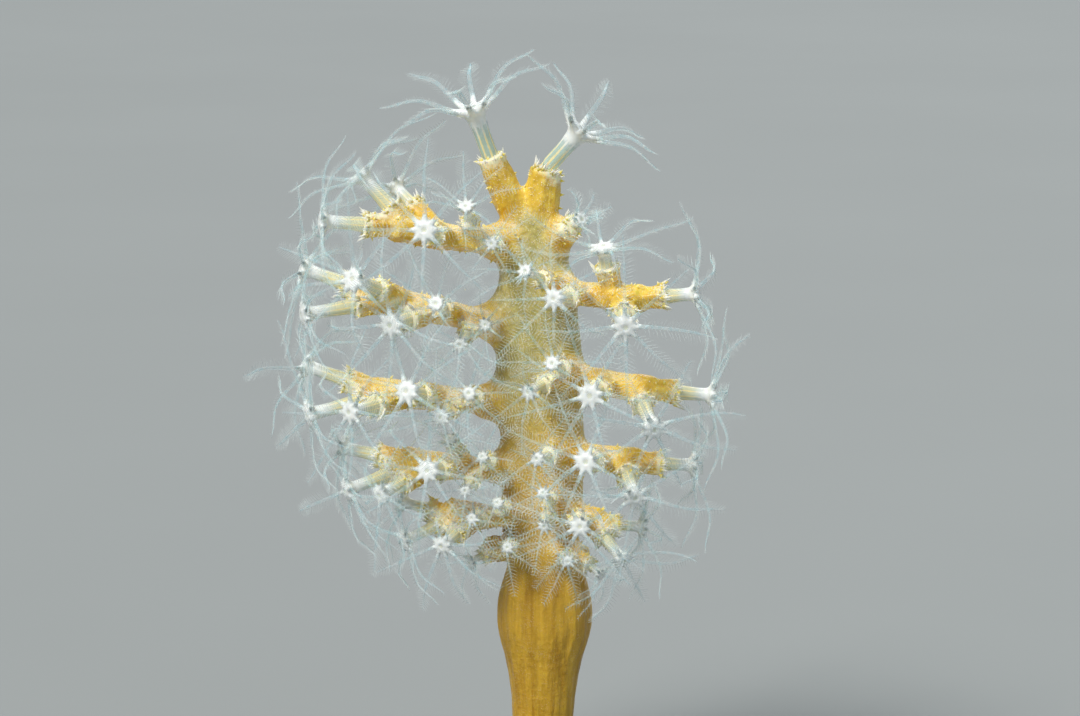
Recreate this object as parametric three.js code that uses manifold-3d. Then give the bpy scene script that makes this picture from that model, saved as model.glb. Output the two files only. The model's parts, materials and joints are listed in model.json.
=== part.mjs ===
// A young sea pen (Pennatulacea) at life size: a fleshy stem whose upper half, the rachis, carries
// paired leaves of fused yellow calyces, with an eight-armed polyp standing in each calyx.
// The lower half, the peduncle, ends in a rounded foot that stands on a plain round display base.
// Millimetres, +Z up, front towards -Y. The origin is the centre of the base's underside.
import * as THREE from 'three';
import { mergeVertices } from 'three/addons/utils/BufferGeometryUtils.js';
import Module from 'manifold-3d';

const wasm = await Module();
wasm.setup();

// ---- Driving dimensions ------------------------------------------------------------------------

const CUT = 0.12; // gap left by a thin cut between two lengths of flesh
const SHORTEST_EDGE = 0.1; // where a join leaves a shorter edge, its two corners become one
const SEAT = 0.2; // gap between a leaf and the rachis, and between a polyp and its calyx

const BASE_RADIUS = 20;
const BASE_HEIGHT = 3;
const BASE_BEVEL = 0.5;
const BASE_SIDES = 24;

// The stem's outline from the foot up: [height, half width, half depth]
const STEM_OUTLINE = [
  [3.0, 1.9, 1.8],
  [4.4, 2.55, 2.3],
  [7.0, 2.7, 2.4],
  [10.0, 2.3, 2.1],
  [13.5, 2.5, 2.2],
  [17.0, 3.1, 2.5],
  [18.6, 3.8, 2.9],
  [20.3, 4.0, 3.0],
  [22.5, 3.3, 2.7],
  [24.5, 2.6, 2.3],
  [26.0, 2.3, 2.2],
  [29.0, 3.0, 2.5],
  [40.0, 3.3, 2.6],
  [46.5, 3.0, 2.3],
  [50.0, 2.1, 1.8],
  [52.0, 1.0, 1.0],
];
const STEM_SIDES = 10;
const STEM_BOW = 0.5; // how far the stem's middle bows to the right
const STEM_LEAN = 0.6; // how far its top leans to the left
const FOOT_TOP = 10;
const PEDUNCLE_TOP = 24.3;
const RACHIS_MIDDLE = 37.5;
const RACHIS_TOP = 52;

// A leaf is a flattened blade. It spreads into a web at the rachis, is narrowest at its waist and
// swells again to its tip. Each leaf states its web's and its tip's half height.
const BLADE_SIDES = 6;
const BLADE_STEPS = 3;
const BLADE_WAIST = { station: 1 / 3, height: 0.92 };
const BLADE_DEPTHS = [1.7, 1.4]; // half depth at the root and at the tip
const BLADE_SAG = 0.5;

const CALYX_SIDES = 5;
const CROWN_SIDES = 8;
const CALYX_REACH = 0.6; // the rim's place between the blade's middle and the polyp's mouth
const TIP_REACH = 0.42; // the same for polyps near a leaf's tip, whose necks are longer
const NEAR_TIP = 0.8; // stations past this are near the tip
const CALYX_ROOT_RADIUS = 0.95;
const CALYX_RIM_RADIUS = 1.08;

const ARMS = 8;
const NECK_RADIUS = 0.66;
const HEAD_RADIUS = 0.95;
const SMALLEST_HEAD = 0.62; // keeps the arms of the smallest polyps thick enough
const HEAD_HEIGHT = 0.56;
const THINNEST = 0.5; // no head is lower than this
const ARM_LENGTH = 6.6;
const ARM_KNEE = 0.52; // the bend's place along an arm
const KNEED_FROM = 0.75; // polyps under this size have straight arms
const ARM_WIDTH = 0.78;
const ARM_THICKNESS = 0.52;
const ARM_CLEARANCE = 0.16;
const ARM_OPENING = 80; // degrees between a polyp's axis and its arms, where nothing is in the way
const ARM_BEND = 24; // further degrees past the knee
const CROWN_OPENING = 58; // the two top polyps hold their arms higher
const TIP_OPENING = 94; // polyps at the tips of the left leaves lay their arms back
const CLOSING_OPENING = 34; // a polyp that is drawing itself in holds its arms together,
const CLOSING_LENGTH = 0.4; // and shortens them to this share

const ARM_ROOT_REACH = 0.9; // an arm starts at this share of the head's radius
const MOUTH_RISE = 0.12;
const TURN_PER_POLYP = 0.61; // radians that each polyp is turned about its axis from the last

// Arms differ a little in length (as a share) and in opening (in degrees)
const UNEVEN_LENGTH = { size: 0.08, perArm: 2.4, perRoll: 5 };
const UNEVEN_OPENING = { size: 8, perArm: 1.9, perRoll: 3 };

const FINISHES = {
  base: { color: 0x2c2e30, roughness: 0.5 },
  peduncle: { color: 0xc79a2e, roughness: 0.6 },
  rachis: { color: 0xa9b06a, roughness: 0.6 },
  leaf: { color: 0xe0ab34, roughness: 0.6 },
  polyp: { color: 0xdfe9e2, roughness: 0.4 },
};

// ---- Where the leaves and polyps stand ---------------------------------------------------------
// side is -1 for the left row and 1 for the right row. root and tip are the blade's ends, and web
// and swell its half heights there.
// A polyp is [station along the blade, out from the middle plane, forward, up from the root, size,
// and, where they aren't the usual ones, its opening and its arms' share of their full length].
// Polyps under SMALL are joined to their leaf.

const SMALL = 0.68;

const LEAVES = [
  {
    name: 'left_1', side: -1, root: [1.6, 0.4, 50.2], tip: [11.4, 3.4, 52.1],
    web: 2.6, swell: 1.15, polyps: [
      [0.98, 17.2, 4.2, 2.5, 1, TIP_OPENING],
      [0.86, 14.2, 2.4, 6.0, 1],
      [0.62, 11.6, -1.6, 4.4, 0.9],
      [0.60, 8.9, 8.4, 2.5, 1],
      [0.36, 5.8, 4.6, 3.8, 0.66],
      [0.16, 3.8, 4.8, 0.8, 0.5],
    ],
  },
  {
    name: 'left_2', side: -1, root: [1.8, 0.4, 43.6], tip: [13.0, 3.4, 46.7],
    web: 2.8, swell: 1.15, polyps: [
      [1.0, 18.8, 2.2, 5.0, 1, TIP_OPENING],
      [0.88, 18.6, 5.6, 1.9, 1, TIP_OPENING],
      [0.74, 14.4, 9.0, 5.4, 1],
      [0.60, 11.6, 8.2, 1.6, 1],
      [0.44, 8.1, 7.0, 3.1, 0.7],
      [0.28, 6.3, 6.2, -0.3, 0.66],
      [0.16, 4.4, 5.0, 1.0, 0.5],
    ],
  },
  {
    name: 'left_3', side: -1, root: [1.8, 0.4, 37.4], tip: [13.0, 3.4, 39.0],
    web: 2.6, swell: 1.15, polyps: [
      [1.0, 18.8, 2.2, 3.4, 1, TIP_OPENING],
      [0.88, 18.3, 5.6, 0.1, 1, TIP_OPENING],
      [0.74, 14.8, 9.0, 1.1, 0.9],
      [0.54, 10.4, 8.6, 2.7, 1],
      [0.40, 7.8, 7.4, 0.3, 0.7],
      [0.26, 5.6, 6.2, 2.0, 0.66],
    ],
  },
  {
    name: 'left_4', side: -1, root: [1.6, 0.4, 31.9], tip: [10.8, 3.2, 33.2],
    web: 1.8, swell: 1.2, polyps: [
      [1.0, 16.0, 2.2, 2.2, 0.95, TIP_OPENING],
      [0.88, 15.4, 5.4, -0.6, 0.95, TIP_OPENING],
      [0.74, 12.6, 7.6, -0.4, 0.85],
      [0.56, 8.8, 8.4, 1.8, 0.9],
      [0.46, 7.2, 5.0, 3.6, 0.66],
      [0.34, 5.9, 7.0, -0.2, 0.5],
      [0.20, 4.6, 5.8, 2.3, 0.5],
    ],
  },
  {
    name: 'left_5', side: -1, root: [1.4, 0.4, 28.2], tip: [7.4, 2.8, 28.7],
    web: 1.3, swell: 1.45, polyps: [
      [1.0, 11.2, 2.0, 1.4, 0.85],
      [0.86, 10.9, 4.8, -1.2, 0.85],
      [0.62, 7.8, 7.0, -1.0, 0.8],
      [0.42, 5.4, 7.0, 1.3, 0.5],
      [0.16, 3.4, 5.6, 2.2, 0.5],
    ],
  },
  {
    name: 'left_6', side: -1, root: [1.2, 0.4, 25.9], tip: [4.0, 2.2, 25.7],
    web: 0.8, swell: 1.1, polyps: [
      [0.9, 5.7, 4.0, -0.9, 0.5],
      [0.4, 2.6, 5.8, 0.9, 0.5],
    ],
  },
  {
    name: 'right_1', side: 1, root: [0.9, 0.3, 49.6], tip: [2.2, 1.6, 52.0],
    web: 0.85, swell: 1.25, polyps: [
      [0.9, 3.3, 2.8, 3.0, 0.79, CLOSING_OPENING, CLOSING_LENGTH],
    ],
  },
  {
    name: 'right_2', side: 1, root: [0.8, 1.0, 46.9], tip: [8.0, 5.6, 46.8],
    web: 1.9, swell: 1.15, polyps: [
      [1.0, 12.4, 6.0, 0.4, 1],
      [0.66, 4.9, 5.2, 4.0, 0.95],
      [0.78, 6.5, 11.6, -1.2, 1],
      [0.42, 1.0, 9.2, 0.6, 0.8],
      [0.20, -1.2, 7.2, 2.4, 0.66],
    ],
  },
  {
    name: 'right_3', side: 1, root: [0.8, 1.0, 40.4], tip: [8.8, 5.6, 39.5],
    web: 2.6, swell: 1.15, polyps: [
      [1.0, 13.8, 5.8, -1.3, 1],
      [0.84, 8.8, 10.4, -3.0, 1],
      [0.58, 3.8, 10.8, -0.2, 1],
      [0.26, 0.9, 7.2, 1.6, 0.66],
      [0.16, -1.0, 7.0, -0.8, 0.66],
    ],
  },
  {
    name: 'right_4', side: 1, root: [0.8, 1.0, 34.0], tip: [7.8, 5.0, 33.5],
    web: 2.4, swell: 1.2, polyps: [
      [1.0, 12.4, 4.6, -0.8, 0.95],
      [0.82, 7.4, 9.6, -2.2, 0.95],
      [0.58, 3.5, 10.8, 1.0, 0.95],
      [0.20, -0.3, 7.4, 0.4, 0.66],
    ],
  },
  {
    name: 'right_5', side: 1, root: [0.8, 0.9, 29.4], tip: [4.8, 4.0, 28.2],
    web: 1.7, swell: 1.3, polyps: [
      [1.0, 8.4, 3.2, -1.6, 0.85],
      [0.86, 6.6, 7.2, -3.4, 0.85],
      [0.60, 3.1, 9.2, 0.0, 0.85],
      [0.20, 0.2, 6.4, 2.0, 0.5],
      [0.10, 0.3, 7.0, -0.6, 0.5],
    ],
  },
  {
    name: 'right_6', side: 1, root: [0.8, 0.8, 26.0], tip: [3.2, 3.2, 25.2],
    web: 1.0, swell: 1.1, polyps: [
      [1.0, 5.0, 4.8, -1.8, 0.5],
      [0.5, 2.2, 6.4, -0.2, 0.5],
    ],
  },
];

// The two calyces at the rachis's top: axis from root to rim, the polyp's mouth, and the belly.
// The outline's stations give the radius as a share of the belly's, up to the rim.
const CROWN_BEND = { across: 0.4, up: 0.5 }; // the place of the axis's bend between root and rim
const CROWN_NECK = 0.66;
const CROWN_BELLY_STATIONS = [[0.45, 1], [0.75, 0.94]];
const CROWNS = [
  {
    name: 'crown_right', root: [-0.4, 0, 49.8], rim: [0.5, 0.2, 56.2], mouth: [3.3, 0.5, 59.4],
    belly: 1.45, rimRadius: 1.28,
  },
  {
    name: 'crown_left', root: [-1.3, 0, 50.2], rim: [-3.9, 0.5, 57.2], mouth: [-5.3, 1.0, 61.2],
    belly: 1.25, rimRadius: 1.08,
  },
];

// ---- Small helpers -----------------------------------------------------------------------------

const UP = new THREE.Vector3(0, 0, 1);
const RIGHT = new THREE.Vector3(1, 0, 0);
const STEEP = 0.8; // an axis whose rise is over this share takes its frame from RIGHT, not from UP
const SAME_SIDE = 0.2; // least cosine between a face before and after one of its corners moves

/** A point from sideways, forward and upward distances. */
function place(across, forward, up) {
  return new THREE.Vector3(across, -forward, up);
}

/** Two directions square to tangent, the first as near to wanted as it can be; across x ahead = tangent. */
function frameAbout(tangent, wanted) {
  const across = wanted.clone().addScaledVector(tangent, -wanted.dot(tangent)).normalize();
  const ahead = new THREE.Vector3().crossVectors(tangent, across);
  return { across, ahead };
}

/** The value between stations [[at, value...], ...] at a place, with the given column. */
function between(stations, at, column) {
  let index = 1;
  while (index < stations.length - 1 && stations[index][0] < at) index += 1;
  const low = stations[index - 1];
  const high = stations[index];
  const share = THREE.MathUtils.clamp((at - low[0]) / (high[0] - low[0]), 0, 1);
  return THREE.MathUtils.lerp(low[column], high[column], share);
}

/** Leaves out faces that have a corner twice. */
function withoutFlatFaces(faces) {
  return faces.filter(([a, b, c]) => a !== b && b !== c && c !== a);
}

/** An index of three corners to a face. */
function asFaces(index) {
  return Array.from({ length: index.length / 3 }, (_, face) => [...index.slice(face * 3, face * 3 + 3)]);
}

/** Geometry with only merged positions, as booleans and closed bodies need. */
function bare(geometry) {
  geometry.deleteAttribute('normal');
  geometry.deleteAttribute('uv');
  const merged = mergeVertices(geometry, 1e-5);
  merged.setIndex(withoutFlatFaces(asFaces(merged.index.array)).flat());
  return merged;
}

/** The frame of a level cut, whatever way the stem leans. */
const LEVEL = { across: RIGHT, ahead: new THREE.Vector3().crossVectors(UP, RIGHT) };

/** A closed cylinder bent along a curve; section(t, angle) gives its across and ahead offsets. */
function bentBody(curve, frameAt, sides, steps, section) {
  const geometry = bare(new THREE.CylinderGeometry(1, 1, 1, sides, steps));
  const position = geometry.getAttribute('position');
  for (let index = 0; index < position.count; index += 1) {
    const t = position.getY(index) + 0.5;
    const reach = Math.hypot(position.getX(index), position.getZ(index));
    const angle = Math.atan2(position.getX(index), position.getZ(index));
    const { across, ahead } = frameAt(curve.getTangent(t));
    const [offAcross, offAhead] = section(t, angle);
    const point = curve.getPoint(t)
      .addScaledVector(across, reach * offAcross)
      .addScaledVector(ahead, reach * offAhead);
    position.setXYZ(index, point.x, point.y, point.z);
  }
  return geometry;
}

function toSolid(geometry) {
  return new wasm.Manifold(new wasm.Mesh({
    numProp: 3,
    vertProperties: new Float32Array(geometry.getAttribute('position').array),
    triVerts: new Uint32Array(geometry.index.array),
  }));
}

function cornersNextTo(corner, faces) {
  return new Set(faces.filter((face) => face.includes(corner)).flat());
}

function faceNormal([a, b, c], points) {
  return new THREE.Triangle(points[a], points[b], points[c]).getNormal(new THREE.Vector3());
}

/** Whether gone can move onto kept: the surface stays closed, and no face turns over. */
function canClose(gone, kept, faces, points) {
  const shared = [...cornersNextTo(gone, faces)].filter((corner) => cornersNextTo(kept, faces).has(corner));
  if (shared.length !== 4) return false; // the two corners themselves and one on each side of the edge
  return faces.every((face) => {
    if (!face.includes(gone) || face.includes(kept)) return true;
    const moved = face.map((corner) => (corner === gone ? kept : corner));
    return faceNormal(face, points).dot(faceNormal(moved, points)) > SAME_SIDE;
  });
}

/** Closes the short edges that a join leaves. */
function closeShortEdges(faces, points) {
  let rest = faces;
  const tried = new Set();
  const shortEdge = () => {
    for (const face of rest) {
      for (const turn of [0, 1, 2]) {
        const [gone, kept] = [face[turn], face[(turn + 1) % 3]];
        const name = `${gone}>${kept}`;
        if (!tried.has(name) && points[gone].distanceTo(points[kept]) < SHORTEST_EDGE) {
          tried.add(name);
          if (canClose(gone, kept, rest, points)) return [gone, kept];
        }
      }
    }
    return null;
  };
  for (let edge = shortEdge(); edge; edge = shortEdge()) {
    const [gone, kept] = edge;
    rest = withoutFlatFaces(rest.map((face) => face.map((corner) => (corner === gone ? kept : corner))));
    tried.clear();
  }
  return rest;
}

function toGeometry(solid) {
  const mesh = solid.getMesh();
  const geometry = new THREE.BufferGeometry();
  geometry.setAttribute('position', new THREE.BufferAttribute(mesh.vertProperties, 3));
  const points = asFaces(mesh.vertProperties).map((values) => new THREE.Vector3(...values));
  geometry.setIndex(closeShortEdges(asFaces(mesh.triVerts), points).flat());
  return mergeVertices(geometry, 1e-5);
}

/** A closed surface put together from rings of points and fans. */
class Shell {
  points = [];

  faces = [];

  ring(points) {
    const first = this.points.length;
    this.points.push(...points);
    return points.map((_, index) => first + index);
  }

  bridge(low, high) {
    low.forEach((corner, index) => {
      const next = (index + 1) % low.length;
      this.faces.push(corner, low[next], high[next], corner, high[next], high[index]);
    });
  }

  fan(ring, apex) {
    const [tip] = this.ring([apex]);
    ring.forEach((corner, index) => this.faces.push(corner, ring[(index + 1) % ring.length], tip));
  }

  geometry() {
    const geometry = new THREE.BufferGeometry().setFromPoints(this.points);
    geometry.setIndex(this.faces);
    return geometry;
  }
}

// ---- Stem --------------------------------------------------------------------------------------

/** The middle of the stem at a height: it leans a little and bows like a living one. */
function stemMiddle(height) {
  const rise = (height - BASE_HEIGHT) / (RACHIS_TOP - BASE_HEIGHT);
  return new THREE.Vector3(STEM_BOW * Math.sin(Math.PI * rise) - STEM_LEAN * rise * rise, 0, height);
}

/** A length of the stem between two heights, grown outwards by grow. */
function stemLength(low, high, steps, grow) {
  const heights = Array.from({ length: steps + 1 }, (_, index) => low + ((high - low) * index) / steps);
  const curve = new THREE.CatmullRomCurve3(heights.map(stemMiddle));
  return bentBody(curve, () => LEVEL, STEM_SIDES, steps, (t, angle) => {
    const height = THREE.MathUtils.lerp(low, high, t);
    const width = between(STEM_OUTLINE, height, 1) + grow;
    const depth = between(STEM_OUTLINE, height, 2) + grow;
    return [width * Math.cos(angle), depth * Math.sin(angle)];
  });
}

// ---- Leaves ------------------------------------------------------------------------------------

function bladeCurve(leaf) {
  const root = place(leaf.side * leaf.root[0], leaf.root[1], leaf.root[2]);
  const tip = place(leaf.side * leaf.tip[0], leaf.tip[1], leaf.tip[2]);
  const middle = root.clone().lerp(tip, 0.5).addScaledVector(UP, -BLADE_SAG);
  return new THREE.QuadraticBezierCurve3(root, middle, tip);
}

function bladeSize(leaf, t) {
  const heights = [[0, leaf.web], [BLADE_WAIST.station, BLADE_WAIST.height], [1, leaf.swell]];
  return { height: between(heights, t, 1), depth: THREE.MathUtils.lerp(...BLADE_DEPTHS, t) };
}

function blade(leaf) {
  const upright = (tangent) => frameAbout(tangent, UP);
  return bentBody(bladeCurve(leaf), upright, BLADE_SIDES, BLADE_STEPS, (t, angle) => {
    const size = bladeSize(leaf, t);
    return [size.height * Math.cos(angle), size.depth * Math.sin(angle)];
  });
}

/** The axis of each polyp and calyx on a leaf: base in the blade, rim and mouth. */
function leafPolyps(leaf) {
  const curve = bladeCurve(leaf);
  return leaf.polyps.map(([station, out, forward, up, size, opening = ARM_OPENING, armShare = 1], index) => {
    const base = curve.getPoint(station);
    const mouth = place(leaf.side * out, forward, leaf.root[2] + up);
    const rim = base.clone().lerp(mouth, station > NEAR_TIP ? TIP_REACH : CALYX_REACH);
    const rimRadius = CALYX_RIM_RADIUS * Math.sqrt(size);
    return { name: `${leaf.name}_${index + 1}`, base, rim, mouth, size, rimRadius, opening, armShare };
  });
}

function calyx(polyp) {
  const curve = new THREE.LineCurve3(polyp.base, polyp.rim);
  const direction = polyp.rim.clone().sub(polyp.base).normalize();
  const wanted = Math.abs(direction.z) > STEEP ? RIGHT : UP;
  const thickness = Math.sqrt(polyp.size);
  return bentBody(curve, (tangent) => frameAbout(tangent, wanted), CALYX_SIDES, 1, (t, angle) => {
    const radius = THREE.MathUtils.lerp(CALYX_ROOT_RADIUS * thickness, polyp.rimRadius, t);
    return [radius * Math.cos(angle), radius * Math.sin(angle)];
  });
}

/** A crown calyx swells to its belly and narrows to its rim. */
function crownCalyx(crown, grow) {
  const curve = new THREE.QuadraticBezierCurve3(
    place(...crown.root),
    place(
      THREE.MathUtils.lerp(crown.root[0], crown.rim[0], CROWN_BEND.across),
      0,
      THREE.MathUtils.lerp(crown.root[2], crown.rim[2], CROWN_BEND.up),
    ),
    place(...crown.rim),
  );
  const belly = CROWN_BELLY_STATIONS.map(([station, share]) => [station, crown.belly * share]);
  const outline = [[0, crown.belly * CROWN_NECK], ...belly, [1, crown.rimRadius]];
  return bentBody(curve, (tangent) => frameAbout(tangent, RIGHT), CROWN_SIDES, 4, (t, angle) => {
    const radius = between(outline, t, 1) + grow;
    return [radius * Math.cos(angle), radius * Math.sin(angle)];
  });
}

// ---- Polyps ------------------------------------------------------------------------------------

/** Space already held: capsules from a to b with a radius. */
const held = [];

function hold(a, b, radius, owner) {
  held.push({ a, b, radius, owner });
}

/** Shortest distance between segments p1-q1 and p2-q2. */
function segmentDistance(p1, q1, p2, q2) {
  const d1 = q1.clone().sub(p1);
  const d2 = q2.clone().sub(p2);
  const r = p1.clone().sub(p2);
  const a = d1.dot(d1);
  const e = d2.dot(d2);
  const f = d2.dot(r);
  const c = d1.dot(r);
  const b = d1.dot(d2);
  const denominator = a * e - b * b;
  let s = denominator > 1e-9 ? THREE.MathUtils.clamp((b * f - c * e) / denominator, 0, 1) : 0;
  let t = (b * s + f) / e;
  if (t < 0 || t > 1) {
    t = THREE.MathUtils.clamp(t, 0, 1);
    s = THREE.MathUtils.clamp((b * t - c) / a, 0, 1);
  }
  return p1.clone().addScaledVector(d1, s).distanceTo(p2.clone().addScaledVector(d2, t));
}

/** How far a capsule stands clear of everything held by others. */
function clearance(a, b, radius, skip) {
  let least = Infinity;
  const middle = a.clone().lerp(b, 0.5);
  const halfLength = a.distanceTo(b) / 2;
  for (const other of held) {
    if (skip(other.owner)) continue;
    const reach = halfLength + other.a.distanceTo(other.b) + other.radius + radius;
    if (middle.distanceTo(other.a) - reach > least) continue;
    least = Math.min(least, segmentDistance(a, b, other.a, other.b) - other.radius - radius);
  }
  return least;
}

/** The polyp's own directions, turned about its axis by roll. */
function polypFrame(polyp) {
  const axis = polyp.mouth.clone().sub(polyp.rim).normalize();
  const wanted = Math.abs(axis.z) > STEEP ? RIGHT : UP;
  const { across, ahead } = frameAbout(axis, wanted);
  return {
    axis,
    around: (angle) => across.clone().multiplyScalar(Math.cos(angle)).addScaledVector(ahead, Math.sin(angle)),
  };
}

const ARM_SPREADS = [0, 10, -10, 20, -20, 32, -32, -48]; // degrees off the usual opening, tried in turn
const ARM_SWINGS = [0, 9, -9, 17, -17]; // degrees sideways
const ARM_CURLS = [0, -25, 25, -50, 50]; // degrees off the usual bend
const ARM_SHORTENINGS = [1, 0.86, 0.72, 0.58, 0.45];

// The room that arms hold: their radii before and past the knee, and the share of an arm's root
// that may lie close to other arms, because it leaves the same head
const ARM_RADIUS = 0.44 * Math.hypot(ARM_THICKNESS, ARM_WIDTH);
const ARM_TAPER = 0.9;
const ARM_HELD = [0.38, 0.35];
const ARM_HELD_FROM = 0.25;
const FREE_FROM = 0.1;
const FREE_OF_OWN_FROM = 0.75;
const SMALLEST_CALYX = 0.6;
const HEAD_HELD_FROM = 0.1;

function uneven({ size, perArm, perRoll }, index, roll) {
  return size * Math.sin(index * perArm + roll * perRoll);
}

function headRadiusOf(polyp) {
  return Math.max(HEAD_RADIUS * polyp.size, SMALLEST_HEAD);
}

/** Lays one arm from the head in the first free direction; returns its knee and tip. */
function layArm(polyp, frame, index, roll) {
  const angle = roll + ((index + 0.5) * 2 * Math.PI) / ARMS;
  const headRadius = headRadiusOf(polyp);
  const beside = [index + 1, index + ARMS - 1].map((other) => `${polyp.name}_arm_${other % ARMS}`);
  const notOwn = (owner) => !owner.startsWith(`${polyp.name}_arm`);
  const skip = (owner) => owner === polyp.name || beside.includes(owner);
  let best = null;
  for (const shorter of ARM_SHORTENINGS) {
    const fullLength = ARM_LENGTH * polyp.size * polyp.armShare;
    const length = fullLength * shorter * (1 + uneven(UNEVEN_LENGTH, index, roll));
    for (const spread of ARM_SPREADS) {
      for (const swing of ARM_SWINGS) {
        for (const curl of ARM_CURLS) {
          const unrest = uneven(UNEVEN_OPENING, index, roll);
          const opening = THREE.MathUtils.degToRad(polyp.opening + unrest + spread);
          const outward = frame.around(angle + THREE.MathUtils.degToRad(swing));
          const direction = (tilt) => outward.clone().multiplyScalar(Math.sin(tilt))
            .addScaledVector(frame.axis, Math.cos(tilt));
          const root = polyp.mouth.clone().addScaledVector(frame.around(angle), headRadius * ARM_ROOT_REACH);
          const knee = root.clone().addScaledVector(direction(opening), length * ARM_KNEE);
          const further = polyp.size < KNEED_FROM ? 0 : THREE.MathUtils.degToRad(ARM_BEND + curl);
          const bend = opening + further;
          const tip = knee.clone().addScaledVector(direction(bend), length * (1 - ARM_KNEE));
          const score = Math.min(
            clearance(root.clone().lerp(knee, FREE_FROM), knee, ARM_RADIUS, skip),
            clearance(knee, tip, ARM_RADIUS * ARM_TAPER, skip),
            clearance(root.clone().lerp(knee, FREE_OF_OWN_FROM), knee, ARM_RADIUS, notOwn),
            clearance(knee, tip, ARM_RADIUS * ARM_TAPER, notOwn),
          );
          if (!best || score > best.score) best = { knee, tip, score };
          if (score >= ARM_CLEARANCE) return best;
        }
      }
    }
  }
  return best;
}

function layArms(polyp, order) {
  const frame = polypFrame(polyp);
  const roll = (order * TURN_PER_POLYP) % (2 * Math.PI / ARMS);
  const arms = [];
  for (let index = 0; index < ARMS; index += 1) {
    const arm = layArm(polyp, frame, index, roll);
    const name = `${polyp.name}_arm_${index}`;
    hold(polyp.mouth.clone().lerp(arm.knee, ARM_HELD_FROM), arm.knee, ARM_HELD[0], name);
    hold(arm.knee, arm.tip, ARM_HELD[1], name);
    arms.push(arm);
  }
  return { frame, roll, arms, straight: polyp.size < KNEED_FROM };
}

/** Neck, head and eight arms as one closed shell. */
function polypShell(polyp, laid, fromRim) {
  const { frame, roll, arms } = laid;
  const shell = new Shell();
  const neckRadius = NECK_RADIUS * Math.sqrt(polyp.size);
  const headRadius = headRadiusOf(polyp);
  const headHeight = Math.max(HEAD_HEIGHT * polyp.size, THINNEST);
  const circle = (centre, radius) => Array.from({ length: ARMS }, (_, index) => (
    centre.clone().addScaledVector(frame.around(roll + (index * 2 * Math.PI) / ARMS), radius)
  ));
  const lean = frame.axis.angleTo(polyp.rim.clone().sub(polyp.base));
  const foot = polyp.rim.clone().addScaledVector(frame.axis, fromRim + neckRadius * Math.sin(lean));
  const under = polyp.mouth.clone().addScaledVector(frame.axis, -headHeight);
  const footRing = shell.ring(circle(foot, neckRadius));
  const low = shell.ring(circle(under, headRadius));
  shell.bridge(footRing, low);
  const high = shell.ring(circle(polyp.mouth, headRadius));
  shell.fan([...footRing].reverse(), foot);
  shell.fan(high, polyp.mouth.clone().addScaledVector(frame.axis, MOUTH_RISE * polyp.size));
  arms.forEach((arm, index) => {
    const next = (index + 1) % ARMS;
    const root = [low[index], low[next], high[next], high[index]];
    if (laid.straight) {
      shell.fan(root, arm.tip);
      return;
    }
    const along = arm.tip.clone().sub(polyp.mouth).normalize();
    const sideways = frame.around(roll + ((index + 0.5) * 2 * Math.PI) / ARMS + Math.PI / 2);
    const across = frameAbout(along, sideways).across;
    const above = new THREE.Vector3().crossVectors(along, across);
    const corner = (a, b) => arm.knee.clone()
      .addScaledVector(across, (a * ARM_WIDTH * Math.sqrt(polyp.size)) / 2)
      .addScaledVector(above, (b * ARM_THICKNESS) / 2);
    const knee = shell.ring([corner(-1, -1), corner(1, -1), corner(1, 1), corner(-1, 1)]);
    shell.bridge(root, knee);
    shell.fan(knee, arm.tip);
  });
  return shell.geometry();
}

// ---- Assembly ----------------------------------------------------------------------------------

const seaPen = new THREE.Group();

function add(name, geometry, finish) {
  const material = new THREE.MeshStandardMaterial({ ...finish, metalness: 0 });
  const mesh = new THREE.Mesh(geometry, material);
  mesh.name = name;
  seaPen.add(mesh);
}

const baseOutline = [
  [0, 0],
  [BASE_RADIUS, 0],
  [BASE_RADIUS, BASE_HEIGHT - BASE_BEVEL],
  [BASE_RADIUS - BASE_BEVEL, BASE_HEIGHT],
  [0, BASE_HEIGHT],
].map(([radius, height]) => new THREE.Vector2(radius, height));
const baseGeometry = bare(new THREE.LatheGeometry(baseOutline, BASE_SIDES));
baseGeometry.rotateX(Math.PI / 2);
add('stand_base', baseGeometry, FINISHES.base);

const STEM_LENGTHS = [
  { name: 'peduncle_foot', low: BASE_HEIGHT, high: FOOT_TOP, steps: 4, finish: FINISHES.peduncle },
  { name: 'peduncle_stalk', low: FOOT_TOP + CUT, high: PEDUNCLE_TOP, steps: 5, finish: FINISHES.peduncle },
  { name: 'rachis_lower', low: PEDUNCLE_TOP + CUT, high: RACHIS_MIDDLE, steps: 5, finish: FINISHES.rachis },
  { name: 'rachis_upper', low: RACHIS_MIDDLE + CUT, high: RACHIS_TOP, steps: 5, finish: FINISHES.rachis },
];
for (const { name, low, high, steps, finish } of STEM_LENGTHS) {
  add(name, stemLength(low, high, steps, 0), finish);
}

// The rachis with room round it, cut from all that stands on it, with a little of the stalk's top
const HOLLOW_FROM = PEDUNCLE_TOP - 3;
const HOLLOW_STEPS = 12;
const rachisHollow = toSolid(stemLength(HOLLOW_FROM, RACHIS_TOP + SEAT, HOLLOW_STEPS, SEAT));

// The space that the fleshy pieces hold, so that the arms lie clear of it
const STEM_CORES = 8;
for (let index = 0; index < STEM_CORES; index += 1) {
  const low = THREE.MathUtils.lerp(BASE_HEIGHT, RACHIS_TOP, index / STEM_CORES);
  const high = THREE.MathUtils.lerp(BASE_HEIGHT, RACHIS_TOP, (index + 1) / STEM_CORES);
  const depth = Math.max(between(STEM_OUTLINE, low, 2), between(STEM_OUTLINE, high, 2));
  const width = Math.max(between(STEM_OUTLINE, low, 1), between(STEM_OUTLINE, high, 1));
  for (const side of [-1, 1]) {
    const shift = new THREE.Vector3(side * (width - depth), 0, 0);
    hold(stemMiddle(low).add(shift), stemMiddle(high).add(shift), depth, 'stem');
  }
}

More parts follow.
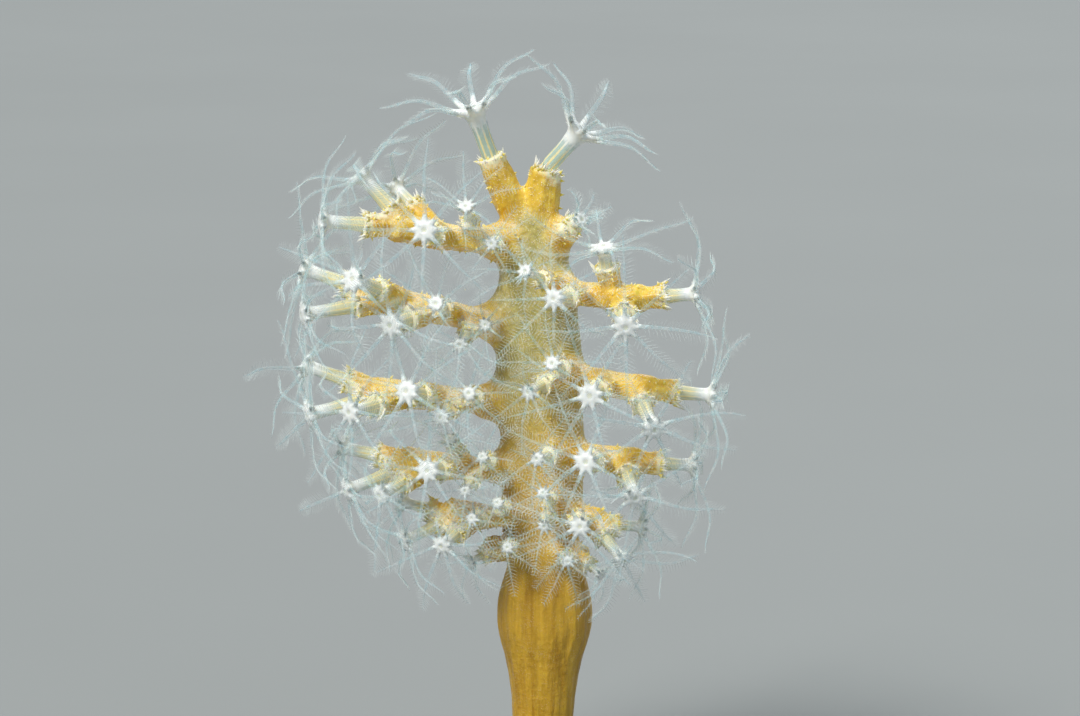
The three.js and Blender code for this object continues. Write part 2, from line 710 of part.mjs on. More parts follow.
const polyps = [];
for (const leaf of LEAVES) {
  const curve = bladeCurve(leaf);
  for (let step = 0; step < BLADE_STEPS; step += 1) {
    const size = bladeSize(leaf, step / BLADE_STEPS);
    for (const side of [-1, 0, 1]) {
      const shift = place(0, side * (size.depth - size.height), 0);
      const from = curve.getPoint(step / BLADE_STEPS).add(shift);
      const to = curve.getPoint((step + 1) / BLADE_STEPS).add(shift);
      hold(from, to, size.height, `leaf_${leaf.name}`);
    }
  }
  leaf.members = leafPolyps(leaf);
  polyps.push(...leaf.members);
}
for (const crown of CROWNS) {
  const [base, rim, mouth] = [crown.root, crown.rim, crown.mouth].map((point) => place(...point));
  hold(base, rim, crown.belly, crown.name);
  crown.polyp = { name: crown.name, base, rim, mouth, size: 1, opening: CROWN_OPENING, armShare: 1 };
  polyps.push(crown.polyp);
}
for (const polyp of polyps) {
  const calyxRadius = Math.max(CALYX_RIM_RADIUS * Math.sqrt(polyp.size), SMALLEST_CALYX);
  hold(polyp.base, polyp.rim, calyxRadius, `${polyp.name}_calyx`);
  hold(polyp.rim, polyp.mouth, NECK_RADIUS, polyp.name);
  hold(polyp.mouth.clone().lerp(polyp.rim, HEAD_HELD_FROM), polyp.mouth, headRadiusOf(polyp), polyp.name);
}

// The large polyps take their room first, then the small ones
const order = [...polyps].sort((a, b) => b.size - a.size);
order.forEach((polyp, index) => {
  polyp.laid = layArms(polyp, index);
});

const crownHollows = [];
for (const crown of CROWNS) {
  let solid = toSolid(crownCalyx(crown, 0)).subtract(rachisHollow);
  for (const hollow of crownHollows) solid = solid.subtract(hollow);
  crownHollows.push(toSolid(crownCalyx(crown, SEAT)));
  add(`calyx_${crown.name}`, toGeometry(solid), FINISHES.leaf);
  add(`polyp_${crown.name}`, polypShell(crown.polyp, crown.polyp.laid, SEAT), FINISHES.polyp);
}

for (const leaf of LEAVES) {
  let solid = toSolid(blade(leaf));
  for (const polyp of leaf.members) {
    solid = solid.add(toSolid(calyx(polyp)));
    if (polyp.size < SMALL) solid = solid.add(toSolid(polypShell(polyp, polyp.laid, -SEAT)));
  }
  solid = solid.subtract(rachisHollow);
  for (const hollow of crownHollows) solid = solid.subtract(hollow);
  add(`leaf_${leaf.name}`, toGeometry(solid), FINISHES.leaf);
  for (const polyp of leaf.members.filter((member) => member.size >= SMALL)) {
    add(`polyp_${polyp.name}`, polypShell(polyp, polyp.laid, SEAT), FINISHES.polyp);
  }
}

export default seaPen;
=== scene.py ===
# %% [markdown]
# # A young sea pen, life size
#
# The model is a small colony of soft coral: a fleshy stem with paired leaves, each leaf a row of
# fused yellow cups (calyces), and in each cup a clear polyp with eight feathery arms.
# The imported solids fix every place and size, so the first step loads them and keeps their box.

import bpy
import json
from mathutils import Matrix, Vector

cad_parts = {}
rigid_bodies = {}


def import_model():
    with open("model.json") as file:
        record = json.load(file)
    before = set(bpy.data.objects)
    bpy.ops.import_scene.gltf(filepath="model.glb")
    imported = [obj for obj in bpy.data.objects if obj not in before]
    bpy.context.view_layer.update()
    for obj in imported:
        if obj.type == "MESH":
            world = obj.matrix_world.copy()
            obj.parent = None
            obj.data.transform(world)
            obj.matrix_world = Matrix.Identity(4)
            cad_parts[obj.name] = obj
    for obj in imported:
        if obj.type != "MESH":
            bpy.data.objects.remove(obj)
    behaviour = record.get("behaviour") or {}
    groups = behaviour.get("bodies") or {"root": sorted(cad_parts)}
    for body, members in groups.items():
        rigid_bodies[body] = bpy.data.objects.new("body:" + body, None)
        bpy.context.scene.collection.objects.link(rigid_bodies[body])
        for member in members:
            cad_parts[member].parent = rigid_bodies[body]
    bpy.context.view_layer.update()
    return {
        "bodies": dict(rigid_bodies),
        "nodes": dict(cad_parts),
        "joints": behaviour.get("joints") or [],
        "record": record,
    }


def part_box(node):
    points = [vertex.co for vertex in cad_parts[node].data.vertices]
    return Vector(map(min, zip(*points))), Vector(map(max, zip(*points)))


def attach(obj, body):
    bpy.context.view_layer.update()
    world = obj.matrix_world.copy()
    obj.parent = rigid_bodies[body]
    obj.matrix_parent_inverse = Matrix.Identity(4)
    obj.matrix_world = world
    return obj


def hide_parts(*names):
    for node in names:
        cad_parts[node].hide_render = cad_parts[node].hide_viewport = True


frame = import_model()

import json
import math
from collections import Counter

import bmesh
import bpy
import numpy as np
from mathutils import Matrix, Vector, noise
from mathutils.bvhtree import BVHTree

MM = 0.001
nodes = frame["nodes"]

# %% [markdown]
# ## Camera
#
# The colony is seen from a little above its own height, from far enough away that its front and
# back leaves keep nearly the same size. A long lens does that, and keeps upright stems upright.

# %% Camera
CAMERA_AIM = Vector((0, 0, 40.88 * MM))
CAMERA_DISTANCE = 250 * MM
CAMERA_RISE = math.radians(12)
CAMERA_FIELD = 86.4 * MM  # width of the picture at the colony


def new_object(name, data):
    made = bpy.data.objects.new(name, data)
    bpy.context.scene.collection.objects.link(made)
    return made


lens = bpy.data.cameras.new("camera")
lens.sensor_width = 36
lens.lens = lens.sensor_width * CAMERA_DISTANCE / CAMERA_FIELD
lens.clip_start, lens.clip_end = 0.01, 10
camera = new_object("camera", lens)
back = Vector((0, -math.cos(CAMERA_RISE), math.sin(CAMERA_RISE)))
camera.location = CAMERA_AIM + back * CAMERA_DISTANCE
camera.rotation_euler = back.to_track_quat("Z", "Y").to_euler()
bpy.context.scene.camera = camera
print("lens:", round(lens.lens, 1), "mm")

# %% [markdown]
# ## Reading the polyps from the solids
#
# Each solid polyp is a short neck with eight tapered arms. An arm's tip is easy to find: it is the
# one kind of vertex where four long edges all leave in nearly the same direction. From the tip,
# its neighbours give the knee, and their neighbours the root on the head. The fine polyps are then
# grown on exactly these lines, so that they stand where the solids do.

# %% Read a solid
SAME_CORNER = 0.002 * MM


def merged_copy(name):
    """The solid as a bmesh with shared corners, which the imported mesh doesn't have."""
    copy = bmesh.new()
    copy.from_mesh(nodes[name].data)
    bmesh.ops.remove_doubles(copy, verts=copy.verts, dist=SAME_CORNER)
    copy.verts.index_update()
    return copy


def neighbours(vert):
    return {edge.other_vert(vert) for edge in vert.link_edges}


def in_order(verts):
    """A set's verts in one order, so that each run sums them alike to the last digit."""
    return sorted(verts, key=lambda vert: vert.index)


def centre_of(verts):
    return sum((vert.co for vert in in_order(verts)), Vector()) / len(verts)


solid = merged_copy("polyp_crown_left")
print("a solid polyp:", len(solid.verts), "corners,", len(solid.faces), "faces")

# %% Find its arms
SPIKE_SIDES = 4
SPIKE_EDGE = 0.8 * MM  # no edge that leaves a tip is shorter
SPIKE_NARROWNESS = 0.88  # length of the mean of their directions


def is_tip(vert):
    ways = [other.co - vert.co for other in neighbours(vert)]
    if len(ways) != SPIKE_SIDES or min(way.length for way in ways) < SPIKE_EDGE:
        return False
    return sum((way.normalized() for way in ways), Vector()).length / SPIKE_SIDES > SPIKE_NARROWNESS


def find_arms(solid):
    """Each arm as its tip, its knee ring (empty on straight arms) and its root ring."""
    tips = [vert for vert in solid.verts if is_tip(vert)]
    rings = [neighbours(tip) for tip in tips]
    uses = Counter(vert for ring in rings for vert in ring)
    arms = []
    for tip, ring in zip(tips, rings):
        if any(uses[vert] > 1 for vert in ring):
            arms.append({"tip": tip, "knee": set(), "root": ring})
        else:
            root = set().union(*(neighbours(vert) for vert in ring)) - ring - {tip}
            arms.append({"tip": tip, "knee": ring, "root": root})
    return arms


def group_arms(arms):
    """Arms whose roots share corners belong to one polyp."""
    groups = []
    for arm in arms:
        near = [group for group in groups if any(arm["root"] & other["root"] for other in group)]
        groups = [group for group in groups if group not in near]
        groups.append([arm] + [other for group in near for other in group])
    return groups


print("its arms:", len(find_arms(solid)), "on", len(group_arms(find_arms(solid))), "head")
solid.free()

# %% Put back a lost arm
ARMS = 8


def arm_in_gap(arms, centre, axis):
    """Where arms cross, the solids are grown together. A lost arm goes back in the widest gap."""
    across = axis.orthogonal().normalized()
    above = axis.cross(across)

    def turn(arm):
        out = arm["root"] - centre
        return math.atan2(out.dot(above), out.dot(across))

    ring = sorted(arms, key=turn)
    pairs = list(zip(ring, ring[1:] + ring[:1]))
    beside = max(pairs, key=lambda pair: (turn(pair[1]) - turn(pair[0])) % math.tau)
    between = {"knee": None}
    for part in ("root", "tip"):
        outs = [arm[part] - centre for arm in beside]
        middle = sum(outs, Vector()).normalized()
        between[part] = centre + middle * (sum(out.length for out in outs) / len(outs))
    return between


# %% Measure each polyp
HEAD_OF_SIZE_ONE = 0.95 * MM
ARMS_OF_SIZE_ONE = 6.2 * MM
SMALLEST_REACH = 0.5  # short arms make a polyp no smaller than this
FINE_HEAD = 0.62  # the fine head beside the solid one, whose arms have to be thicker than life
CROWN_HEAD = 0.92  # the same for the two large polyps at the top
LEAF_ARM_GIRTH = 0.66  # how thick the other polyps' arms are beside theirs


def parts_of(arms):
    """All tips, knees and roots of a polyp's arms, and the ring of corners below the roots."""
    tips = {arm["tip"] for arm in arms}
    knees, roots = (set().union(*(arm[part] for arm in arms)) for part in ("knee", "root"))
    around = set().union(*(neighbours(vert) for vert in roots)) - roots - knees - tips
    return tips, knees, roots, around


def measure_polyp(solid, arms, name):
    tips, knees, roots, around = parts_of(arms)
    centre = sum((centre_of(arm["root"]) for arm in arms), Vector()) / len(arms)
    spread = np.array([centre_of(arm["root"]) - centre for arm in arms])
    axis = Vector(np.linalg.svd(spread)[2][2]).normalized()
    behind = centre_of(around) - centre
    if axis.dot(behind) > 0:
        axis.negate()
    if knees:
        rest = [vert for vert in solid.verts if vert not in tips | knees]
        foot = min(rest, key=lambda vert: (vert.co - centre).dot(axis)).co
        neck = -(foot - centre).dot(axis)
    else:
        neck = -behind.dot(axis)
    aways = [vert.co - centre for vert in in_order(roots)]
    radius = sum((away - axis * away.dot(axis)).length for away in aways) / len(roots)
    reach = sum((arm["tip"].co - centre_of(arm["root"])).length for arm in arms) / len(arms)
    size = min(radius / HEAD_OF_SIZE_ONE, 1.0)
    if not knees:
        size = min(size, max(reach / ARMS_OF_SIZE_ONE, SMALLEST_REACH))
    crown = "crown" in name
    fine_radius = HEAD_OF_SIZE_ONE * size * (CROWN_HEAD if crown else FINE_HEAD)
    fine_arms = [
        {
            "root": centre + (centre_of(arm["root"]) - centre) * (fine_radius / radius),
            "knee": centre_of(arm["knee"]) if arm["knee"] else None,
            "tip": arm["tip"].co.copy(),
        }
        for arm in arms
    ]
    if len(fine_arms) == ARMS - 1:
        fine_arms.append(arm_in_gap(fine_arms, centre, axis))
    return {
        "name": name,
        "centre": centre.copy(),
        "axis": axis,
        "radius": fine_radius,
        "size": size,
        "scale": math.sqrt(size),  # of what shrinks less than the polyp does
        "girth": math.sqrt(size) * (1.0 if crown else LEAF_ARM_GIRTH),
        "clear": float(crown),
        "neck": neck,
        "straight": not knees,
        "arms": fine_arms,
    }


polyps = []
for name in sorted(name for name in nodes if name.startswith(("polyp_", "leaf_"))):
    solid = merged_copy(name)
    polyps += [measure_polyp(solid, group, name) for group in group_arms(find_arms(solid))]
    solid.free()
print("polyps:", len(polyps), "with arms:", sorted({len(polyp["arms"]) for polyp in polyps}))

# %% [markdown]
# ## One skin for stem and leaves
#
# Stem, leaves and cups are one sheet of flesh on the real animal. The solids are cut apart with
# thin gaps, so a plain join would show seams. A voxel remesh solves that: every solid is fattened
# a little until the gaps close, all are wrapped in one new surface of tiny squares, and that
# surface is smoothed and drawn back in. Small polyps that share a solid with their leaf are folded
# away first, so that only the cup below them is wrapped.

# %% Fatten the solids
FATTEN = 0.18 * MM
FOLDED_CORNERS = 0.01 * MM
STEM_NAMES = sorted(name for name in nodes if name.startswith(("peduncle_", "rachis_")))
LEAF_NAMES = sorted(name for name in nodes if name.startswith(("leaf_", "calyx_")))


def fold_polyps_away(solid):
    """Draws each joined polyp's head and arms back to the middle of its cup."""
    for group in group_arms(find_arms(solid)):
        tips, _, roots, around = parts_of(group)
        rim = centre_of(around)
        for vert in tips | roots:
            vert.co = rim


def fattened(name):
    solid = merged_copy(name)
    fold_polyps_away(solid)
    bmesh.ops.remove_doubles(solid, verts=solid.verts, dist=FOLDED_CORNERS)
    bmesh.ops.recalc_face_normals(solid, faces=solid.faces)
    solid.normal_update()
    places = [vert.co + vert.normal * FATTEN for vert in solid.verts]
    for vert, place in zip(solid.verts, places):
        vert.co = place
    return solid


print("flesh solids:", len(STEM_NAMES), "in the stem,", len(LEAF_NAMES), "leaves and cups")

# %% Join meshes and shape them with a modifier
def as_mesh(name, shape):
    mesh = bpy.data.meshes.new(name)
    shape.to_mesh(mesh)
    shape.free()
    return mesh


def add_mesh(shape, mesh):
    shape.from_mesh(mesh)
    bpy.data.meshes.remove(mesh)


def joined(shapes):
    together = bmesh.new()
    for shape in shapes:
        add_mesh(together, as_mesh("scratch", shape))
    return together


def with_modifier(shape, kind, **settings):
    """The mesh that a modifier makes of a bmesh."""
    before = as_mesh("scratch", shape)
    scratch = new_object("scratch", before)
    modifier = scratch.modifiers.new("shaping", kind)
    for key, value in settings.items():
        setattr(modifier, key, value)
    finished = scratch.evaluated_get(bpy.context.evaluated_depsgraph_get())
    after = bpy.data.meshes.new_from_object(finished)
    bpy.data.objects.remove(scratch)
    bpy.data.meshes.remove(before)
    return after


flesh_solids = joined(fattened(name) for name in STEM_NAMES + LEAF_NAMES)
print("fattened flesh:", len(flesh_solids.faces), "faces")

# %% Wrap the flesh and smooth it
VOXEL = 0.2 * MM
SMOOTHINGS = 34
SHRINK, SWELL = 0.5, -0.52  # the two steps of one smoothing


def read(parts, name, width, kind=float):
    """One property of all a mesh's vertices or edges, as an array with a row for each."""
    values = np.empty(len(parts) * width, kind)
    parts.foreach_get(name, values)
    return values.reshape(-1, width)


def neighbour_mean(values, edges):
    """The mean of each vertex's neighbours, for points or for single numbers."""
    flat = values.reshape(len(values), -1)
    total = np.zeros_like(flat)
    for column in range(flat.shape[1]):
        for here, there in ((0, 1), (1, 0)):
            weights = flat[edges[:, there], column]
            total[:, column] += np.bincount(edges[:, here], weights, len(flat))
    count = np.bincount(edges.ravel(), minlength=len(flat)).clip(1)
    return (total / count[:, None]).reshape(values.shape)


def smooth_points(points, edges, rounds):
    """Smoothing that swells as much as it shrinks, so that thin cups keep their girth."""
    for share in (SHRINK, SWELL) * rounds:
        points = points + share * (neighbour_mean(points, edges) - points)
    return points


skin_mesh = with_modifier(flesh_solids, "REMESH", mode="VOXEL", voxel_size=VOXEL)
skin_edges = read(skin_mesh.edges, "vertices", 2, int)
skin_points = smooth_points(read(skin_mesh.vertices, "co", 3), skin_edges, SMOOTHINGS)
print("skin:", len(skin_mesh.vertices), "vertices,", len(skin_mesh.polygons), "squares")

# %% [markdown]
# ## Where the skin is leaf, stalk and cup rim
#
# The colours change from ochre stalk to olive rachis to orange leaf without an edge. Three numbers
# on every vertex say how much of each it is: they come from the distance to the stem's solids,
# the height, and the distance to the nearest cup rim. Materials and ridges both read them. The
# first one also tells where the stem is, which takes more smoothing than the small cups would
# stand, because its solids have few rings.

# %% Leaf and stalk on the skin
STALK_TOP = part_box("peduncle_stalk")[1].z
STALK_FADE = (STALK_TOP - 2.2 * MM, STALK_TOP + 1.6 * MM)
LEAF_FADE = (0.1 * MM, 1.6 * MM)  # distances from the stem


def smooth_step(values, low, high):
    share = np.clip((values - low) / (high - low), 0, 1)
    return share * share * (3 - 2 * share)


def stem_distance(points):
    stem = joined(merged_copy(name) for name in STEM_NAMES)
    tree = BVHTree.FromBMesh(stem)
    stem.free()
    return np.array([tree.find_nearest(Vector(point))[3] for point in points])


zone_leaf = smooth_step(stem_distance(skin_points), *LEAF_FADE)
zone_stalk = 1 - smooth_step(skin_points[:, 2], *STALK_FADE)
print("leaf share:", round(float(zone_leaf.mean()), 2), "stalk share:", round(float(zone_stalk.mean()), 2))

# %% Cup rims on the skin
RIM_GAP = 0.2 * MM  # between a cup's rim and the foot of its polyp
RIM_RADIUS = 1.08 * MM
WIDE_RIMS = {"polyp_crown_right": 1.28 * MM}
RIM_REACH, RIM_FEATHER = 1.9, 0.5  # how far out a rim counts, in its own radii
RIM_FALL, RIM_ABOVE = 0.75 * MM, 0.9 * MM
ZONE_SMOOTHINGS = 3

for polyp in polyps:
    polyp["rim"] = polyp["centre"] - polyp["axis"] * (polyp["neck"] + RIM_GAP * (not polyp["straight"]))
    polyp["rim_radius"] = WIDE_RIMS.get(polyp["name"], RIM_RADIUS) * polyp["scale"]


def rim_closeness(points):
    """1 on the nearest cup's rim, falling to 0 about two millimetres down its side."""
    best = np.zeros(len(points))
    for polyp in polyps:
        axis, radius = np.array(polyp["axis"]), polyp["rim_radius"]
        away = points - np.array(polyp["rim"])
        down = -(away @ axis)
        out = np.linalg.norm(away + down[:, None] * axis, axis=1)
        inside = smooth_step(RIM_REACH * radius - out, 0, RIM_FEATHER * radius)
        fall = np.exp(-np.clip(down, 0, None) / RIM_FALL)
        best = np.maximum(best, inside * fall * (down > -RIM_ABOVE))
    return best


zone_rim = rim_closeness(skin_points)
for _ in range(ZONE_SMOOTHINGS):
    zone_leaf = neighbour_mean(zone_leaf, skin_edges)
    zone_rim = neighbour_mean(zone_rim, skin_edges)
print("rim share:", round(float(zone_rim.mean()), 2))

# %% Round the stem
STEM_SMOOTHINGS = 110
STEM_SHRINK = 0.3 * MM  # what that smoothing takes off the stem's radius
ROUND_FOOT = (2.6 * MM, 4.2 * MM)  # heights between which the rounding sets in


def set_points(mesh, points):
    mesh.vertices.foreach_set("co", np.ascontiguousarray(points, np.float32).ravel())
    mesh.update()


def pushed_out(points, mesh, distances):
    """The points moved along the mesh's normals."""
    return points + read(mesh.vertices, "normal", 3) * distances[:, None]


rounding = (1 - zone_leaf) * smooth_step(skin_points[:, 2], *ROUND_FOOT)
for _ in range(STEM_SMOOTHINGS):
    pull = neighbour_mean(skin_points, skin_edges) - skin_points
    skin_points = skin_points + SHRINK * rounding[:, None] * pull
set_points(skin_mesh, skin_points)
skin_points = pushed_out(skin_points, skin_mesh, STEM_SHRINK * rounding)
print("rounded share of the skin:", round(float(rounding.mean()), 2))

# %% [markdown]
# ## Ridges in the flesh
#
# The stalk is drawn into long soft folds that run up it, the foot has shallow rings where it can
# swell, the leaves are lumpy, and a bare groove runs up the back. These are moved into the mesh
# along its normals, since they show on the outline, and only finer grain is left to bump.

# %% Shape the ridges
FOLD_COUNT, FINE_FOLD_COUNT = 11, 2.3 * 11
FOLD_DEPTH = 0.07 * MM
FOLD_TWIST = 60  # radians for each metre up the stalk
FOOT_FADE = (8 * MM, 13 * MM)  # between these heights rings give way to folds
RING_SPACING = 0.9 * MM
RING_DEPTH = 0.022 * MM
LUMP_DEPTH = 0.1 * MM
GROOVE_DEPTH = 0.26 * MM
GROOVE_WIDTH = 0.5 * MM
GROOVE_RISE = (STALK_TOP, STALK_TOP + 7 * MM)
FLOOR_OF_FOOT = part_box("stand_base")[1].z
FOOT_RISE = (FLOOR_OF_FOOT, FLOOR_OF_FOOT + 2 * MM)  # no ridges where the foot meets the base
WANDER_SCALE, BREAK_SCALE, LUMP_SCALE = 260, 300, 700  # of the noises, for each metre
NOISE_SHIFT = np.array((7.3, 3.1, 5.7))


def lumps(points, scale, seed):
    shift = Vector(NOISE_SHIFT * seed)
    return np.array([noise.noise(Vector(point) * scale + shift) for point in points])


def groove_depths(points):
    """The bare track down the middle of the rachis's back."""
    height, stem = points[:, 2], zone_leaf < 0.1
    middle = np.polyval(np.polyfit(height[stem], points[stem, 0], 3), height)
    across = np.exp(-(((points[:, 0] - middle) / GROOVE_WIDTH) ** 2))
    on_back = smooth_step(points[:, 1], 0, 1 * MM) * (1 - zone_leaf)
    return GROOVE_DEPTH * across * on_back * smooth_step(height, *GROOVE_RISE)


def ridge_heights(points):
    turn, height = np.arctan2(points[:, 1], points[:, 0]), points[:, 2]
    wander = 0.9 * lumps(points * [0.5, 0.5, 1], WANDER_SCALE, 1)
    folds = np.cos(FOLD_COUNT * turn + 2.2 * wander + FOLD_TWIST * height)
    folds *= 0.6 + 0.8 * lumps(points * [1, 1, 0.4], BREAK_SCALE, 3)
    fine_folds = np.cos(FINE_FOLD_COUNT * turn + 4 * wander)
    rings = np.cos(2 * np.pi * height / RING_SPACING + 7 * wander)
    low_foot = 1 - smooth_step(height, *FOOT_FADE)
    fold_depth = FOLD_DEPTH * (1 - 0.7 * low_foot)
    stalk = fold_depth * (0.7 * folds + 0.3 * fine_folds) + RING_DEPTH * rings * low_foot
    flesh = LUMP_DEPTH * lumps(points, LUMP_SCALE, 2) * (0.35 + 0.65 * zone_leaf)
    return stalk * zone_stalk * smooth_step(height, *FOOT_RISE) + flesh - groove_depths(points)


heights = ridge_heights(skin_points)
print("ridges:", [round(float(height) / MM, 2) for height in (heights.min(), heights.max())], "mm")

# %% Finish the skin
DRAW_IN = 0.1 * MM  # what the fattening leaves too thick
set_points(skin_mesh, skin_points)
skin_points = pushed_out(skin_points, skin_mesh, heights - DRAW_IN)
skin_points[:, 2] = np.maximum(skin_points[:, 2], FLOOR_OF_FOOT)
set_points(skin_mesh, skin_points)


def store_numbers(mesh, name, values):
    layer = mesh.attributes.new(name, "FLOAT", "POINT")
    layer.data.foreach_set("value", np.ascontiguousarray(values, np.float32))


def shade_smooth(mesh):
    mesh.polygons.foreach_set("use_smooth", np.ones(len(mesh.polygons), bool))


for zone, values in (("leaf", zone_leaf), ("stalk", zone_stalk), ("rim", zone_rim)):
    store_numbers(skin_mesh, zone, values)
shade_smooth(skin_mesh)
skin = new_object("flesh_skin", skin_mesh)
print("skin height:", [round(float(v) / MM, 1) for v in (skin_points[:, 2].min(), skin_points[:, 2].max())])

# %% [markdown]
# ## The arms' curves
#
# A living arm leaves the head straight out, bends where the solid has its knee, and thins to a
# tip. Two Hermite curves joined at the knee give that line from only three points and the
# directions between them. Each station also needs two directions square to the arm: one across,
# for the side branches, and one towards the mouth.

# %% Curves for the arms
ARM_STATIONS = 9
# Share of the arm, half width in mm.
ARM_OUTLINE = [(0, 0.28), (0.1, 0.27), (0.35, 0.2), (0.65, 0.16), (0.88, 0.1), (1, 0.04)]
ARM_FLATNESS = 0.82  # thickness as a share of width
ARM_ARCH = 0.12  # how far a straight arm is arched, as a share of its length
ARM_DROOP = 0.25  # the same for how far its tip curls


def outline_at(outline, share):
    stations, values = zip(*outline)
    return float(np.interp(share, stations, values))


def hermite(start, end, leave, arrive, share):
    square, cube = share * share, share * share * share
    point = start * (2 * cube - 3 * square + 1) + leave * (cube - 2 * square + share)
    point += end * (3 * square - 2 * cube) + arrive * (cube - square)
    slope = start * (6 * square - 6 * share) + leave * (3 * square - 4 * share + 1)
    slope += end * (6 * share - 6 * square) + arrive * (3 * square - 2 * share)
    return point, slope.normalized()


def arm_curve(polyp, arm):
    """A function of the share along the arm that returns the point and its three directions."""
    root, tip = arm["root"], arm["tip"]
    knee = arm["knee"] or root.lerp(tip, 0.5) + polyp["axis"] * ARM_ARCH * (tip - root).length
    outward = (root - polyp["centre"]).normalized()
    side = polyp["axis"].cross(outward).normalized()
    first, second = knee - root, tip - knee
    leave = (outward + first.normalized()).normalized() * first.length
    turn = (tip - root) / 2
    arrive = second - side.cross(second).normalized() * ARM_DROOP * second.length

    def at(share):
        if share <= 0.5:
            point, along = hermite(root, knee, leave, turn, share * 2)
        else:
            point, along = hermite(knee, tip, turn, arrive, share * 2 - 1)
        across = (side - along * side.dot(along)).normalized()
        return point, along, across, along.cross(across)

    return at


for polyp in polyps:
    for arm in polyp["arms"]:
        arm["curve"] = arm_curve(polyp, arm)
        arm["length"] = (arm["tip"] - arm["root"]).length
lengths = [arm["length"] / MM for polyp in polyps for arm in polyp["arms"]]
print("arms:", len(lengths), "from", round(min(lengths), 1), "to", round(max(lengths), 1), "mm")

# %% [markdown]
# ## Polyps
#
# A polyp is one sheet of clear tissue: a tube that widens into a head, and eight arms that are
# drawn out of the head's side. So it is modelled as a coarse cage with the same history. A circle
# of eight is extruded up the neck, the eight faces round the head are extruded along the arms'
# curves, the top is inset and pushed in for the mouth, and Subdivision Surface rounds it all off.

# %% Rings and extrusions
def ring_turn(polyp):
    """Matrix that sets a flat circle square to the axis, with its corners between the arms."""
    out = (polyp["arms"][0]["root"] - polyp["centre"]).normalized()
    out = (out - polyp["axis"] * out.dot(polyp["axis"])).normalized()
    across = polyp["axis"].cross(out)
    turn = Matrix((out, across, polyp["axis"])).transposed().to_4x4()
    return turn @ Matrix.Rotation(math.pi / len(polyp["arms"]), 4, "Z")


def move_ring(face, centre, old_radius, radius):
    share = radius / old_radius
    middle = face.calc_center_median()
    for vert in face.verts:
        vert.co = centre + (vert.co - middle) * share


def extrude_up(cage, face):
    return bmesh.ops.extrude_discrete_faces(cage, faces=[face])["faces"][0]


def first_ring(shape, facing, **settings):
    """The single face of a new circle, turned to face the way it will be extruded."""
    face = bmesh.ops.create_circle(shape, cap_ends=True, **settings)["verts"][0].link_faces[0]
    if face.normal.dot(facing) < 0:
        face.normal_flip()
    return face


def close_up(shape):
    bmesh.ops.holes_fill(shape, edges=[edge for edge in shape.edges if edge.is_boundary])
    bmesh.ops.recalc_face_normals(shape, faces=shape.faces)


# %% Draw out an arm
def place_section(face, centre, across, above, half_width, half_height, numbers, value):
    middle = face.calc_center_median()
    for vert in face.verts:
        away = vert.co - middle
        width = math.copysign(half_width, away.dot(across))
        vert.co = centre + across * width + above * math.copysign(half_height, away.dot(above))
        vert[numbers] = value


def grow_arm(cage, face, polyp, arm, reach):
    thickness = polyp["girth"] * MM
    for step in range(1, ARM_STATIONS + 1):
        share = step / ARM_STATIONS
        centre, _, across, above = arm["curve"](share)
        half = outline_at(ARM_OUTLINE, share) * thickness
        face = extrude_up(cage, face)
        place_section(face, centre, across, above, half, half * ARM_FLATNESS, reach, 1 + share)


# %% The cage of one polyp
HEAD_HEIGHT = 0.68 * MM
FLATTEST_HEAD = 0.68  # small heads are no flatter than this share of it
HEAD_TAPER = 0.96
# Share of the neck from inside the cup, radius as a share of the head's.
NECK_OUTLINE = [(0.0, 0.86), (0.3, 0.84), (0.6, 0.8), (0.84, 0.92)]
NECK_FLARE = 0.45  # how much wider a leaf polyp's neck gets down in its cup
NECK_SINK = 0.5 * MM
MOUTH_INSETS = [(0.34, -0.25), (0.3, 1.0)]  # width in head radii, sink in mouth depths
MOUTH_DEPTH = 0.09 * MM
MOUTH_REACH = 0.66  # the mouth takes the cream of this place on the neck


def polyp_cage(polyp, number):
    cage = bmesh.new()
    reach = cage.verts.layers.float.new("reach")
    radius = polyp["radius"]
    head_height = HEAD_HEIGHT * max(polyp["size"], FLATTEST_HEAD)
    foot = polyp["rim"] - polyp["axis"] * NECK_SINK
    under = polyp["centre"] - polyp["axis"] * (head_height * 0.5)
    place = Matrix.Translation(foot) @ ring_turn(polyp)
    face = first_ring(cage, polyp["axis"], radius=radius, segments=len(polyp["arms"]), matrix=place)
    previous = radius
    for share, width in NECK_OUTLINE:
        width *= 1 + NECK_FLARE * (1 - polyp["clear"]) * (1 - share)
        if share > 0:
            face = extrude_up(cage, face)
        move_ring(face, foot.lerp(under, share), previous, radius * width)
        previous = radius * width
        for vert in face.verts:
            vert[reach] = share
    face = extrude_up(cage, face)
    move_ring(face, under, previous, radius)
    face = extrude_up(cage, face)
    move_ring(face, under + polyp["axis"] * head_height, radius, radius * HEAD_TAPER)
    for vert in set(face.verts).union(*(neighbours(vert) for vert in face.verts)):
        vert[reach] = 1
    sides = [near for edge in face.edges for near in edge.link_faces if near is not face]
    for inset, sink in MOUTH_INSETS:
        bmesh.ops.inset_region(cage, faces=[face], thickness=radius * inset, use_even_offset=True)
        bmesh.ops.translate(cage, verts=face.verts, vec=-polyp["axis"] * MOUTH_DEPTH * sink)
    for vert in face.verts:
        vert[reach] = MOUTH_REACH
    for arm in polyp["arms"]:
        side = min(sides, key=lambda side: (side.calc_center_median() - arm["root"]).length)
        sides.remove(side)
        grow_arm(cage, side, polyp, arm, reach)
    index = cage.verts.layers.float.new("number")
    for vert in cage.verts:
        vert[index] = number
    close_up(cage)
    return cage


cage = polyp_cage(polyps[0], 0)
print("the cage of one polyp:", len(cage.verts), "corners,", len(cage.faces), "faces")
cage.free()

